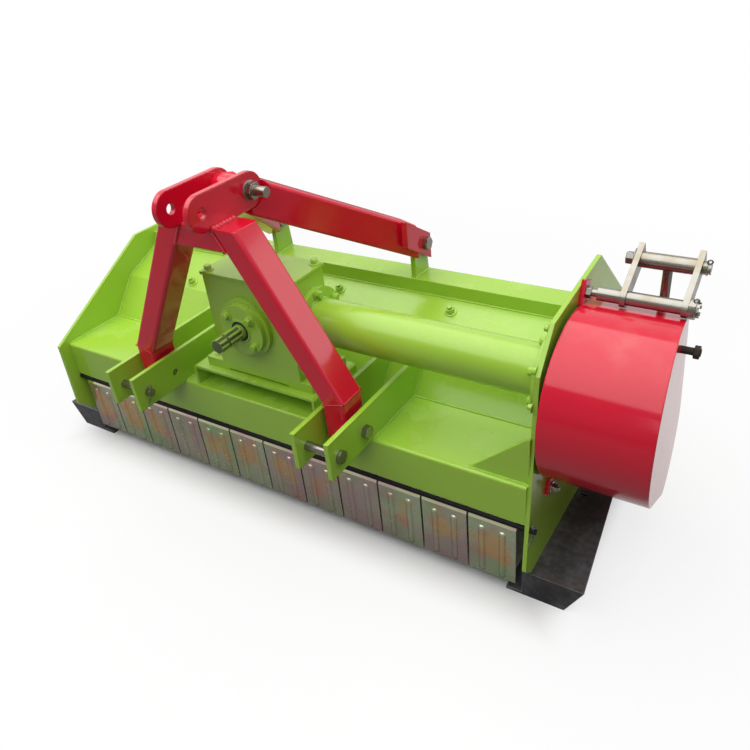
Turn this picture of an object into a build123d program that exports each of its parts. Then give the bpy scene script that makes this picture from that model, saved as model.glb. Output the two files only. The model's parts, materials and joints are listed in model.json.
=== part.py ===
from build123d import *
import math
import os

# Straw mulcher for a tractor's three-point linkage, in millimetres.
# +X points to the belt side, -Y to the tractor and +Z up. Pieces are laid out about the middle of the hood,
# the apron and the ground, and moved together at the end so that the machine stands centred on the origin.

# Hood: outside line of the bent sheet, from the apron's lower edge to the rear skirt
sheet_t = 6.0
apron_y = 2.0
apron_low_z = 242.0
shelf_z = 352.0
shelf_depth = 203.0
wall_run = 94.0
wall_rise = 108.0
slope_run = 143.0
slope_rise = 59.0
rear_run = 133.0
rear_drop = 89.0
skirt_run = 17.0
skirt_drop = 190.0
beam_depth = 80.0
beam_height = 40.0
apron_bend_r = 7.0
gusset_run = 140.0
gusset_rise = 126.0
gusset_back = 12.0

# Flaps on their rod
flap_count = 12
flap_pitch = 125.0
flap_gap = 5.0
flap_end_gap = 20.0
flap_t = 3.0
flap_low_z = 40.0
flap_play = 0.3
flap_hook = 190.0  # turn of the sheet round the rod, in degrees
flap_bend_r = 2.4
flap_rod_d = 14.0
flap_rod_back = 4.0
flap_rod_drop = 12.5
flap_rod_stub = 14.0
rib_w = 16.0
rib_h = 3.0
rib_spacing = 52.0
rib_top_gap = 24.0
rib_foot_gap = 8.0
rib_chamfer = 2.4

# End plates and skids
plate_t = 10.0
plate_rear_y = 690.0
plate_low_z = 80.0
left_corners = [  # behind which edge, by how much, above which edge, by how much
    ("apron", -41.0, "foot", 67.0),
    ("apron", -34.0, "shelf", 5.0),
    ("beam", -78.0, "beam top", 20.0),
    ("beam", 158.0, "beam top", 20.0),
    ("rear", 0.0, "beam top", -85.0),
    ("rear", 0.0, "foot", 0.0),
    ("apron", 26.0, "foot", 0.0),
]
right_corners = [  # behind which edge, by how much, above which edge, by how much
    ("apron", -15.0, "foot", 32.0),
    ("apron", 32.0, "drive", 48.0),
    ("apron", 105.0, "drive", 133.0),
    ("beam", -52.0, "drive", 160.0),
    ("rear", -85.0, "drive", -24.0),
    ("rear", 0.0, "drive", -97.0),
    ("rear", 0.0, "foot", 0.0),
    ("apron", 17.0, "foot", 0.0),
]
skid_front_y = 14.0
skid_reach = 129.0
skid_slant = 44.0
skid_taper = 77.0
skid_sole_t = 8.0
skid_lip = 50.0
skid_inset = 10.0
skid_tail_rise = 34.0
skid_tail_length = 110.0
skid_slot_l = 24.0
skid_slot_w = 9.0
skid_slot_depth = 20.0
skid_slot_back = 326.0
skid_slot_out = 22.0

# Hexagon heads and nuts, as shares of the bolt's diameter
hex_width = 1.5
hex_height = 0.7

# Three-point hitch bars and their pins
hitch_x = 12.0
bench_bar_gap = 41.5
hitch_gap = 82.0
bar_t = 12.0
bar_h = 100.0
bar_reach = 165.0
hitch_pin_d = 22.0
hitch_pin_back = 37.0
hitch_pin_up = 44.0
hitch_pin_stub = 16.0
hitch_pin_head_d = 34.0
hitch_pin_head_t = 8.0

# Mast: two box legs, a crossbar, two top-link ears and two struts
leg_w = 60.0
leg_d = 80.0
leg_y = -23.0
leg_foot_gap = 6.0
leg_corner_r = 9.0
leg_bolt_d = 20.0
leg_bolt_recess = 5.0
leg_spacer_d = 40.0
leg_kink_z = 480.0
leg_beside_ear = 27.0
mast_over_gearbox = 168.0
crossbar_h = 51.0
ear_t = 14.0
ear_gap = 80.0
ear_r = 42.0
ear_hole_d = 25.0
ear_hole_y = -80.0
ear_bolt_y = 75.0
mast_bolt_d = 24.0
mast_bolt_stub = 50.0
strut_w = 50.0
strut_h = 84.0
strut_corner_r = 8.0
strut_drop = 8.0
strut_eye_r = 30.0
strut_mid_gap = 0.4
strut_end_gap = 4.0
strut_ear_gap = 3.0
tongue_t = 16.0
tongue_l = 90.0
tongue_h = 72.0
tongue_over = 30.0
bracket_half = 250.0
bracket_t = 14.0
bracket_w = 64.0
bracket_bolt_up = 92.0
bracket_bolt_d = 20.0

# Gearbox on its bench
bench_half = 207.0
bench_h = 61.0
bench_depth = 190.0
bench_t = 8.0
bench_bend_r = 10.0
gearbox_shift = 12.0
gearbox_half = 132.0
gearbox_back = 29.0
gearbox_depth = 150.0
gearbox_h = 256.0
gearbox_foot_half = 179.0
gearbox_foot_h = 26.0
gearbox_pad = 78.0
gearbox_relief = 6.0
gearbox_lid_t = 8.0
gearbox_lid_lap = 4.0
cap_r = 80.0
cap_t = 12.0
cap_boss_r = 69.0
cap_boss_t = 14.0
cap_hub_r = 31.0
cap_hub_t = 3.0
drive_z = 571.0
input_shaft_d = 38.0
input_reach = 113.0
spline_count = 8
spline_root_d = 32.0
spline_w = 6.0
spline_l = 74.0
spline_groove_back = 24.0
spline_groove_w = 8.0

# Cross drive: tube, shaft, pulleys, belts and guard
drive_back = 128.0
tube_r = 58.0
tube_wall = 6.0
flange_r = 86.0
flange_t = 14.0
cross_shaft_d = 45.0
shaft_room = 8.0
bearing_play = 0.2
drive_pulley_r = 78.0
rotor_pulley_r = 56.0
pulley_gap = 52.0
pulley_w = 96.0
belt_t = 12.0
belt_play = 0.5
guard_gap = 10.0
guard_wall = 3.0
guard_width = 228.0
guard_toe_in = 45.0
guard_room = 9.3
guard_back = 183.0
guard_z = 497.0
guard_tail_room = 48.5
guard_bend_angle = 74.0
guard_flat = 93.0
guard_flat_fall = 13.6  # slope of the flat behind the crest, in degrees
guard_flat_back = 140.0
tab_w = 36.0
tab_h = 56.0
low_tab_angle = 250.0
idler_d = 16.0
idler_back = 62.0
idler_up = 121.0
idler_stub = 15.0
idler_tip = 2.0

# Belt tensioner above the guard
tension_lean = 67.8
tension_clear = 9.3
tension_shaft_d = 30.0
tension_bolt_d = 16.0
tension_bolt_l = 24.0
tension_run = 92.0
tension_rise = 48.0
tension_pin_d = 20.0
tension_sleeve_d = 34.0
tension_arm_t = 12.0
tension_arm_w = 40.0
tension_arm_head = 28.0
tension_first = 82.0
tension_spread = 121.0
tension_overhang = 16.0

# Rotor with its flails
rotor_back = 398.0
rotor_z = 250.0
flail_r = 188.0
rotor_tube_r = 65.0
rotor_end_gap = 14.0
rotor_disc_r = 92.0
rotor_disc_t = 12.0
rotor_shaft_d = 50.0
bearing_r = 58.0
bearing_t = 44.0
bearing_flange = 150.0
bearing_flange_t = 16.0
bearing_corner_r = 24.0
flail_rows = 4
flails_per_row = 4
lug_t = 8.0
lug_w = 44.0
lug_hole_r = 92.0
flail_play = 0.5
flail_end_gap = 5.0
flail_pin_d = 16.0
flail_t = 12.0
flail_tip_w = 92.0
flail_tip_h = 40.0
flail_neck_w = 26.0
flail_eye_r = 18.0
flail_flare = 22.0
knife_bar_w = 50.0
knife_bar_t = 10.0
knife_tooth_h = 14.0
knife_tooth_w = 40.0
knife_margin = 60.0

# Values that follow from the sizes above
inner_half = flap_count * flap_pitch / 2 + flap_end_gap
outer_half = inner_half + plate_t
hood_steps = [  # run in y, rise in z, from the apron's lower edge
    (0, shelf_z - apron_low_z),
    (shelf_depth, 0),
    (wall_run, wall_rise),
    (slope_run, slope_rise),
    (beam_depth, 0),
    (rear_run, -rear_drop),
    (skirt_run, -skirt_drop),
]
hood_line = [(apron_y, apron_low_z)]
for run, rise in hood_steps:
    hood_line.append((hood_line[-1][0] + run, hood_line[-1][1] + rise))
beam_y, beam_z = hood_line[4]
beam_top_z = beam_z + beam_height
flap_rod_y = apron_y + flap_rod_back
flap_rod_z = apron_low_z - flap_rod_drop
bar_front_y = apron_y - bar_reach
hitch_pin_y = bar_front_y + hitch_pin_back
hitch_pin_z = shelf_z + hitch_pin_up
bench_top_z = shelf_z + bench_h
gearbox_front_y = apron_y + gearbox_back
gearbox_foot_z = bench_top_z + gearbox_foot_h
gearbox_top_z = gearbox_foot_z + gearbox_h
hitch_half_span = bench_half + hitch_x + bench_bar_gap + bar_t + hitch_gap / 2
mast_top_z = gearbox_top_z + gearbox_lid_t + mast_over_gearbox
mast_top_half = ear_gap / 2 + ear_t + leg_beside_ear
ear_z = mast_top_z + ear_r
gearbox_mid_x = hitch_x + gearbox_shift
gearbox_right_x = gearbox_mid_x + gearbox_half
drive_y = apron_y + drive_back
rotor_y = apron_y + rotor_back
rotor_half = inner_half - rotor_end_gap
guard_x = outer_half + guard_gap
guard_y = apron_y + guard_back
belt_over = belt_play + belt_t
guard_r = (math.hypot(guard_y - drive_y, guard_z - drive_z) + drive_pulley_r + belt_over
           + guard_room + guard_wall)
guard_tail_r = rotor_pulley_r + belt_over + guard_tail_room + guard_wall
tension_reach = guard_r + tension_clear + tension_shaft_d / 2
tension_y = guard_y + tension_reach * math.cos(math.radians(tension_lean))
tension_z = guard_z + tension_reach * math.sin(math.radians(tension_lean))
pulley_x = outer_half + pulley_gap
edges_y = {"apron": apron_y, "beam": beam_y, "rear": plate_rear_y}
edges_z = {"foot": plate_low_z, "shelf": shelf_z, "beam top": beam_top_z, "drive": drive_z}


def moved(point, direction, distance):
    """A point moved along a direction."""
    return tuple(p + d * distance for p, d in zip(point, direction))


def mitred(points, distance):
    """An open bent line moved to its right-hand side, mitred at the bends."""
    normals = []
    for (a, b), (c, d) in zip(points, points[1:]):
        length = math.hypot(c - a, d - b)
        normals.append(((d - b) / length, (a - c) / length))
    shifted = [moved(points[0], normals[0], distance)]
    for point, before, after in zip(points[1:], normals, normals[1:]):
        bend = (before[0] + after[0], before[1] + after[1])
        reach = distance / (1 + before[0] * after[0] + before[1] * after[1])
        shifted.append(moved(point, bend, reach))
    return shifted + [moved(points[-1], normals[-1], distance)]


def polygon(points):
    """A flat face with straight edges."""
    return make_face(Polyline(*points, close=True))


def prism_x(face, x_low, x_high):
    """A (y, z) face carried along X."""
    return Pos(x_low, 0, 0) * extrude(Plane.YZ * face, amount=x_high - x_low, dir=(1, 0, 0))


def prism_y(face, y_low, y_high):
    """An (x, z) face carried along Y."""
    return Pos(0, y_low, 0) * extrude(Plane.XZ * face, amount=y_high - y_low, dir=(0, 1, 0))


def bar_x(x_low, x_high, y, z, radius):
    """A round bar along X."""
    return Pos((x_low + x_high) / 2, y, z) * Rot(0, 90, 0) * Cylinder(radius, x_high - x_low)


def bar_y(y_low, y_high, x, z, radius):
    """A round bar along Y."""
    return Pos(x, (y_low + y_high) / 2, z) * Rot(90, 0, 0) * Cylinder(radius, y_high - y_low)


def block(x_low, x_high, y_low, y_high, z_low, z_high):
    """A box between two corners."""
    size = (x_high - x_low, y_high - y_low, z_high - z_low)
    return Pos((x_low + x_high) / 2, (y_low + y_high) / 2, (z_low + z_high) / 2) * Box(*size)


def hex_x(x, side, y, z, bolt_d):
    """A hexagon head or nut for a bolt along X, standing off a face at x towards one side."""
    profile = Pos(y, z) * RegularPolygon(bolt_d * hex_width / 2, 6, major_radius=False)
    low, high = sorted((x, x + side * bolt_d * hex_height))
    return prism_x(profile, low, high)


def tangent_hull(first, first_r, second, second_r):
    """Two circles and the two straight lines that touch both from outside, as a face."""
    span = math.dist(first, second)
    lean = math.acos((first_r - second_r) / span)
    heading = math.atan2(second[1] - first[1], second[0] - first[0])
    along = (math.cos(heading), math.sin(heading))
    sides = []
    for turn in (lean, -lean):
        normal = (math.cos(heading + turn), math.sin(heading + turn))
        sides.append((moved(first, normal, first_r), moved(second, normal, second_r)))
    (upper_a, upper_b), (lower_a, lower_b) = sides
    return make_face([
        Line(upper_a, upper_b),
        ThreePointArc(upper_b, moved(second, along, second_r), lower_b),
        Line(lower_b, lower_a),
        ThreePointArc(lower_a, moved(first, along, -first_r), upper_a),
    ])


def hood():
    """Bent sheets of the hood, the box beam across its top and the gusset at the belt side."""
    inside = mitred(hood_line, sheet_t)
    pieces = {}
    for name, first, last in (("hood_front", 0, 2), ("hood_roof", 2, 5), ("hood_rear", 5, 7)):
        outline = hood_line[first:last + 1] + inside[first:last + 1][::-1]
        pieces[name] = prism_x(polygon(outline), -inner_half, inner_half)
    bend = pieces["hood_front"].edges().filter_by(Axis.X).sort_by(Axis.Z)
    pieces["hood_front"] = fillet(bend.filter_by_position(Axis.Y, apron_y, apron_y)[-1], apron_bend_r)
    beam_back_y = beam_y + beam_depth
    beam = block(-inner_half, inner_half, beam_y, beam_back_y, beam_z, beam_top_z)
    pieces["hood_beam"] = beam - block(-inner_half, inner_half, beam_y + sheet_t, beam_back_y - sheet_t,
                                       beam_z + sheet_t, beam_top_z - sheet_t)
    gusset = [(inner_half - gusset_run, shelf_z), (inner_half, shelf_z), (inner_half, shelf_z + gusset_rise)]
    gusset_y = apron_y + gusset_back
    pieces["shelf_gusset"] = prism_y(polygon(gusset), gusset_y, gusset_y + sheet_t)
    return pieces


def end_plates():
    """The two end plates, the right one taller to carry the belt drive."""
    left, right = ([(edges_y[front] + back, edges_z[under] + up) for front, back, under, up in corners]
                   for corners in (left_corners, right_corners))
    rod = bar_x(-2 * outer_half, 2 * outer_half, flap_rod_y, flap_rod_z, flap_rod_d / 2)
    axle = bar_x(-2 * outer_half, 2 * outer_half, rotor_y, rotor_z, rotor_shaft_d / 2 + shaft_room)
    shaft = bar_x(0, 2 * outer_half, drive_y, drive_z, cross_shaft_d / 2 + shaft_room)
    return {
        "side_plate_left": prism_x(polygon(left), -outer_half, -inner_half) - rod - axle,
        "side_plate_right": prism_x(polygon(right), inner_half, outer_half) - rod - axle - shaft,
    }


def skids():
    """Tapered box shoes under the end plates, each with a sole that reaches inwards."""
    inner, lip_x = inner_half - skid_inset, inner_half - skid_lip
    sole_x = outer_half + skid_reach - skid_slant
    far = 2 * outer_half
    section = polygon([(lip_x, 0), (far, 0), (far, plate_low_z), (inner, plate_low_z), (inner, skid_sole_t),
                       (lip_x, skid_sole_t)])
    footprint = polygon([(0, skid_front_y), (sole_x, skid_front_y), (sole_x - skid_taper, plate_rear_y),
                         (0, plate_rear_y)])
    slanted = extrude(footprint, amount=math.hypot(skid_slant, plate_low_z), dir=(skid_slant, 0, plate_low_z))
    shoe = prism_y(section, skid_front_y, plate_rear_y) & slanted
    tail_y = plate_rear_y - skid_tail_length
    rise = polygon([(tail_y, 0), (plate_rear_y, 0), (plate_rear_y, skid_tail_rise)])
    shoe -= prism_x(rise, 0, far)
    slot = Pos(outer_half + skid_slot_out, apron_y + skid_slot_back) * SlotOverall(skid_slot_l, skid_slot_w)
    shoe -= Pos(0, 0, plate_low_z) * extrude(slot, amount=skid_slot_depth, dir=(0, 0, -1))
    return {"skid_right": shoe, "skid_left": mirror(shoe, about=Plane.YZ)}


def flaps():
    """Hinged flaps with two pressed ribs each, hooked from below and behind round one rod."""
    bore = flap_rod_d / 2 + flap_play
    hook_r = bore + flap_t
    width = flap_pitch - flap_gap
    length = flap_rod_z - flap_low_z
    leaf = block(-width / 2, width / 2, -flap_t / 2, flap_t / 2, -length, -bore)
    bend = leaf.edges().filter_by(Axis.X).sort_by(Axis.Z)[-2:].sort_by(Axis.Y)[0]
    leaf = fillet(bend, flap_bend_r)
    for side in (-1, 1):
        x = side * rib_spacing / 2
        rib = block(x - rib_w / 2, x + rib_w / 2, -flap_t / 2 - rib_h, -flap_t / 2,
                    rib_foot_gap - length, -hook_r - rib_top_gap)
        leaf += chamfer(rib.faces().sort_by(Axis.Y)[0].edges(), rib_chamfer)
    far = 2 * hook_r
    end = math.radians(flap_hook - 90)
    hook = Circle(hook_r) - Circle(bore)
    hook -= polygon([(0, 0), (far * math.cos(end), far * math.sin(end)), (-far, far), (-far, -far),
                     (0, -far)])
    flap = leaf + prism_x(hook, -width / 2, width / 2)
    pieces = {}
    for index in range(flap_count):
        x = (index - (flap_count - 1) / 2) * flap_pitch
        pieces[f"flap_{index + 1:02d}"] = Pos(x, flap_rod_y, flap_rod_z) * flap
    reach = outer_half + flap_rod_stub
    pieces["flap_rod"] = bar_x(-reach, reach, flap_rod_y, flap_rod_z, flap_rod_d / 2)
    return pieces


def hitch():
    """Pairs of flat bars on the shelf with the lower-link pins through them."""
    wall_y = hood_line[2][0]
    top_y = wall_y + wall_run * bar_h / wall_rise
    outline = polygon([(bar_front_y, shelf_z), (bar_front_y, shelf_z + bar_h),
                       (top_y, shelf_z + bar_h), (wall_y, shelf_z)])
    pieces = {}
    pins = []
    for name, side in (("left", -1), ("right", 1)):
        middle = hitch_x + side * hitch_half_span
        inner, outer = hitch_gap / 2, hitch_gap / 2 + bar_t
        pin_hole = bar_x(middle - outer, middle + outer, hitch_pin_y, hitch_pin_z, hitch_pin_d / 2)
        bolt_hole = bar_x(middle - outer, middle + outer, leg_y, hitch_pin_z, leg_bolt_d / 2)
        bars = prism_x(outline, middle - outer, middle - inner)
        bars += prism_x(outline, middle + inner, middle + outer)
        pieces[f"hitch_bars_{name}"] = bars - pin_hole - bolt_hole
        head = bar_x(outer, outer + hitch_pin_head_t, hitch_pin_y, hitch_pin_z, hitch_pin_head_d / 2)
        pin = head + bar_x(-outer - hitch_pin_stub, outer, hitch_pin_y, hitch_pin_z, hitch_pin_d / 2)
        pins.append(Pos(middle, 0, 0) * (pin if side > 0 else mirror(pin, about=Plane.YZ)))
    pieces["hitch_pins"] = Compound(children=pins)
    return pieces


def leg_half_at(z):
    """Distance of a leg's middle line from the mast's middle, above the kink."""
    return hitch_half_span + (mast_top_half - hitch_half_span) * (z - leg_kink_z) / (mast_top_z - leg_kink_z)


def mast():
    """Box legs, crossbar, top-link ears and the bolts that hold them."""
    lean = math.atan2(hitch_half_span - mast_top_half, mast_top_z - leg_kink_z)
    level_half = leg_w / 2 / math.cos(lean)
    foot_z = shelf_z + leg_foot_gap
    line = [(hitch_half_span, foot_z), (hitch_half_span, leg_kink_z), (mast_top_half, mast_top_z)]
    outer, inner = mitred(line, leg_w / 2)[:2], mitred(line, -leg_w / 2)[:2]
    top = [(mast_top_half + level_half, mast_top_z), (mast_top_half - level_half, mast_top_z)]
    front_y, back_y = leg_y - leg_d / 2, leg_y + leg_d / 2
    right = prism_y(polygon(outer + top + inner[::-1]), front_y, back_y)
    long_edges = [edge for edge in right.edges() if edge.center().Z < mast_top_z - leg_w / 2
                  and abs(edge.tangent_at(0.5).Y) < 0.5 and edge.center().Z > foot_z + leg_w / 2]
    right = fillet(long_edges, leg_corner_r)
    right -= bar_x(0, 2 * hitch_half_span, leg_y, hitch_pin_z, leg_bolt_d / 2)
    low_z = mast_top_z - crossbar_h
    low_half, top_half = leg_half_at(low_z) - level_half, mast_top_half - level_half
    crossbar = prism_y(polygon([(-low_half, low_z), (low_half, low_z), (top_half, mast_top_z),
                                (-top_half, mast_top_z)]), front_y, back_y)
    ear_mid_y = (ear_hole_y + ear_bolt_y) / 2
    plate = Pos(ear_mid_y, ear_z) * SlotCenterToCenter(ear_bolt_y - ear_hole_y, 2 * ear_r)
    plate -= Pos(ear_hole_y, ear_z) * Circle(ear_hole_d / 2)
    plate -= Pos(ear_bolt_y, ear_z) * Circle(mast_bolt_d / 2)
    ear_in, ear_out = ear_gap / 2, ear_gap / 2 + ear_t
    ears = prism_x(plate, -ear_out, -ear_in) + prism_x(plate, ear_in, ear_out)
    bolt = bar_x(-ear_out, ear_out + mast_bolt_stub, ear_bolt_y, ear_z, mast_bolt_d / 2)
    for side in (-1, 1):
        bolt += hex_x(side * ear_out, side, ear_bolt_y, ear_z, mast_bolt_d)
    centre = Pos(hitch_x, 0, 0)
    pieces = {
        "mast_leg_right": centre * right,
        "mast_leg_left": centre * mirror(right, about=Plane.YZ),
        "mast_crossbar": centre * crossbar,
        "mast_ears": centre * ears,
        "mast_bolt": centre * bolt,
    }
    out = hitch_gap / 2 + bar_t
    bolt = bar_x(leg_bolt_recess - out, out, leg_y, hitch_pin_z, leg_bolt_d / 2)
    bolt += hex_x(out, 1, leg_y, hitch_pin_z, leg_bolt_d)
    for low, high in ((-hitch_gap / 2, -leg_w / 2), (leg_w / 2, hitch_gap / 2)):
        bolt += bar_x(low, high, leg_y, hitch_pin_z, leg_spacer_d / 2)
    bolt = Pos(hitch_half_span, 0, 0) * bolt
    pieces["leg_bolts"] = centre * Compound(children=[bolt, mirror(bolt, about=Plane.YZ)])
    return pieces


def struts():
    """Box struts from the ear bolt back to two brackets on the beam."""
    bracket_y = beam_y + beam_depth / 2
    bolt_z = beam_top_z + bracket_bolt_up
    inner, outer = bracket_half - bracket_t, bracket_half
    upright = Pos(bracket_y, bolt_z) * Circle(bracket_w / 2)
    upright += polygon([(bracket_y - bracket_w / 2, beam_top_z), (beam_y + beam_depth, beam_top_z),
                        (bracket_y + bracket_w / 2, bolt_z), (bracket_y - bracket_w / 2, bolt_z)])
    shank = bar_x(inner, outer + tongue_t, bracket_y, bolt_z, bracket_bolt_d / 2)
    bolt = shank + hex_x(inner, -1, bracket_y, bolt_z, bracket_bolt_d)
    bolt += hex_x(outer + tongue_t, 1, bracket_y, bolt_z, bracket_bolt_d)
    bracket = prism_x(upright, inner, outer) - shank
    start = Vector(ear_gap / 4, ear_bolt_y, ear_z - strut_drop)
    end = Vector(outer + tongue_t / 2, bracket_y, bolt_z)
    heading = (end - start).normalized()
    across = Vector(heading.Y, -heading.X, 0).normalized()
    section = RectangleRounded(strut_w, strut_h, strut_corner_r)
    arm = extrude(Plane(origin=start, x_dir=across, z_dir=heading) * section, amount=(end - start).length)
    far = 10 * bracket_half
    arm -= block(-far, far, bracket_y - bracket_w / 2 - strut_end_gap, far, 0, far)
    arm -= bar_x(ear_gap / 2, far, ear_bolt_y, ear_z, ear_r + strut_ear_gap)
    arm -= block(-far, far, -far, ear_bolt_y, 0, far)
    arm -= block(-far, strut_mid_gap / 2, -far, far, 0, far)
    fall = heading.Z / heading.Y
    front_y, back_y = bracket_y - tongue_l, bracket_y + tongue_over
    front_z, back_z = bolt_z - fall * tongue_l, bolt_z + fall * tongue_over
    tongue = polygon([(front_y, front_z - tongue_h / 2), (back_y, back_z - tongue_h / 2),
                      (back_y, back_z + tongue_h / 2), (front_y, front_z + tongue_h / 2)])
    eye = bar_x(strut_mid_gap / 2, (ear_gap - strut_mid_gap) / 2, ear_bolt_y, ear_z, strut_eye_r)
    strut = arm + prism_x(tongue, outer, outer + tongue_t) + eye
    strut -= bar_x(-far, far, ear_bolt_y, ear_z, mast_bolt_d / 2)
    strut -= shank
    centre = Pos(hitch_x, 0, 0)
    flip = Plane.YZ
    return {
        "mast_strut_right": centre * strut,
        "mast_strut_left": centre * mirror(strut, about=flip),
        "strut_brackets": centre * Compound(children=[bracket, mirror(bracket, about=flip)]),
        "strut_bolts": centre * Compound(children=[bolt, mirror(bolt, about=flip)]),
    }


def gearbox():
    """Bevel gearbox on an open-fronted bench, with its splined input shaft."""
    bench_y = apron_y + apron_bend_r
    bench_back_y = bench_y + bench_depth
    bench = block(-bench_half, bench_half, bench_y, bench_back_y, shelf_z, bench_top_z)
    bench = fillet(bench.edges().filter_by(Axis.Y).group_by(Axis.Z)[-1], bench_bend_r)
    bench -= block(bench_t - bench_half, bench_half - bench_t, bench_y, bench_back_y, shelf_z,
                   bench_top_z - bench_t)
    back_y = gearbox_front_y + gearbox_depth
    left, right = gearbox_mid_x - gearbox_half, gearbox_right_x
    top_z = gearbox_top_z
    case = block(left, right, gearbox_front_y, back_y, bench_top_z, top_z)
    case += block(hitch_x - gearbox_foot_half, hitch_x + gearbox_foot_half, gearbox_front_y, back_y,
                  bench_top_z, gearbox_foot_z)
    pads = gearbox_foot_half - gearbox_pad
    case -= block(hitch_x - pads, hitch_x + pads, gearbox_front_y, back_y, bench_top_z,
                  bench_top_z + gearbox_relief)
    shaft_r = input_shaft_d / 2
    cap_y = gearbox_front_y - cap_t - cap_boss_t - cap_hub_t
    bore = bar_y(cap_y, gearbox_front_y + cap_t, hitch_x, drive_z, shaft_r + bearing_play)
    cross_bore = bar_x(gearbox_right_x - flange_t, gearbox_right_x, drive_y, drive_z,
                       cross_shaft_d / 2 + bearing_play)
    lid = block(left - gearbox_lid_lap, right + gearbox_lid_lap, gearbox_front_y - gearbox_lid_lap,
                back_y + gearbox_lid_lap, top_z, top_z + gearbox_lid_t)
    cap = bar_y(cap_y, gearbox_front_y, hitch_x, drive_z, cap_hub_r)
    cap += bar_y(cap_y + cap_hub_t, gearbox_front_y, hitch_x, drive_z, cap_boss_r)
    cap += bar_y(gearbox_front_y - cap_t, gearbox_front_y, hitch_x, drive_z, cap_r)
    shaft_back_y = gearbox_front_y + cap_t - bearing_play
    tip_y = gearbox_front_y - input_reach
    ring = Circle(shaft_r) - Circle(spline_root_d / 2)
    gaps = ring
    for index in range(spline_count):
        gaps -= Rot(0, 0, 360 / spline_count * index) * Pos(shaft_r, 0) * Rectangle(shaft_r, spline_w)
    groove_y = tip_y + spline_groove_back
    shaft = bar_y(tip_y, shaft_back_y, hitch_x, drive_z, shaft_r)
    for cut, low, high in ((gaps, tip_y, tip_y + spline_l), (ring, groove_y, groove_y + spline_groove_w)):
        shaft -= prism_y(Pos(hitch_x, drive_z) * cut, low, high)
    return {
        "gearbox_bench": bench,
        "gearbox_housing": case - bore - cross_bore,
        "gearbox_lid": lid,
        "bearing_cap": cap - bore,
        "input_shaft": shaft,
    }


def cross_drive():
    """Tube from the gearbox to the belt side with the shaft, pulleys and belts."""
    tube = bar_x(gearbox_right_x, inner_half, drive_y, drive_z, tube_r)
    for low, high in ((gearbox_right_x, gearbox_right_x + flange_t), (inner_half - flange_t, inner_half)):
        tube += bar_x(low, high, drive_y, drive_z, flange_r)
    tube -= bar_x(gearbox_right_x + flange_t, inner_half - flange_t, drive_y, drive_z, tube_r - tube_wall)
    tube -= bar_x(gearbox_right_x, inner_half, drive_y, drive_z, cross_shaft_d / 2 + bearing_play)
    shaft_left = gearbox_right_x - flange_t + bearing_play
    shaft = bar_x(shaft_left, pulley_x + pulley_w, drive_y, drive_z, cross_shaft_d / 2)
    shaft += bar_x(pulley_x, pulley_x + pulley_w, drive_y, drive_z, drive_pulley_r)
    wheel = bar_x(pulley_x, pulley_x + pulley_w, rotor_y, rotor_z, rotor_pulley_r)
    wheel -= bar_x(pulley_x, pulley_x + pulley_w, rotor_y, rotor_z, rotor_shaft_d / 2)
    ends = ((drive_y, drive_z), (rotor_y, rotor_z))
    inner_r = (drive_pulley_r + belt_play, rotor_pulley_r + belt_play)
    outer_r = (drive_pulley_r + belt_over, rotor_pulley_r + belt_over)
    loop = tangent_hull(ends[0], outer_r[0], ends[1], outer_r[1])
    loop -= tangent_hull(ends[0], inner_r[0], ends[1], inner_r[1])
    return {
        "drive_tube": tube,
        "cross_shaft": shaft,
        "rotor_pulley": wheel,
        "drive_belts": prism_x(loop, pulley_x, pulley_x + pulley_w),
    }


def guard_body(inset):
    """The guard's outside form with the flat behind its crest, or its hollow when moved in by the wall."""
    centre = (guard_y, guard_z)
    face = tangent_hull(centre, guard_r - inset, (rotor_y, rotor_z), guard_tail_r - inset)
    bend, fall = math.radians(guard_bend_angle), math.radians(guard_flat_fall)
    crest = moved(centre, (math.cos(bend), math.sin(bend)), guard_r - inset)
    corner = moved(crest, (math.cos(fall), -math.sin(fall)), guard_flat - inset)
    face += polygon([centre, crest, corner, moved(centre, (1, 0), guard_flat_back)])
    body = prism_x(face, guard_x, guard_x + guard_width)
    front, back = guard_y - guard_r, rotor_y + guard_tail_r
    far_x = guard_x + guard_width - inset
    spare = guard_width
    wedge = [(far_x, front), (far_x - guard_toe_in, back), (far_x + spare, back), (far_x + spare, front)]
    cutter = extrude(polygon(wedge), amount=guard_z + guard_r, dir=(0, 0, 1))
    return body - cutter


def guard():
    """Belt guard, open towards the end plate, with its tabs and the idler's bolt through its cover."""
    shell = guard_body(0) - guard_body(guard_wall)
    tail_angle = math.degrees(math.atan2(rotor_z - guard_z, rotor_y - guard_y))
    tabs = []
    for centre, radius, angle in (((guard_y, guard_z), guard_r, tension_lean),
                                  ((guard_y, guard_z), guard_r, low_tab_angle),
                                  ((rotor_y, rotor_z), guard_tail_r, tail_angle)):
        reach = radius + tab_h / 2 - 2 * guard_wall
        way = (math.cos(math.radians(angle)), math.sin(math.radians(angle)))
        outline = Pos(*moved(centre, way, reach)) * Rot(0, 0, angle) * Rectangle(tab_h, tab_w)
        outline -= Pos(tension_y, tension_z) * Circle(tension_bolt_d / 2)
        tabs.append(prism_x(outline, outer_half, guard_x))
    idler_y, idler_z = guard_y + idler_back, guard_z + idler_up
    tip_x = guard_x + guard_width + idler_stub
    rod = bar_x(pulley_x + pulley_w, tip_x, idler_y, idler_z, idler_d / 2)
    nut = hex_x(tip_x - idler_tip, -1, idler_y, idler_z, idler_d)
    return {
        "belt_guard": shell - rod,
        "guard_tabs": Compound(children=tabs),
        "idler_bolt": rod + nut,
    }


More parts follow.
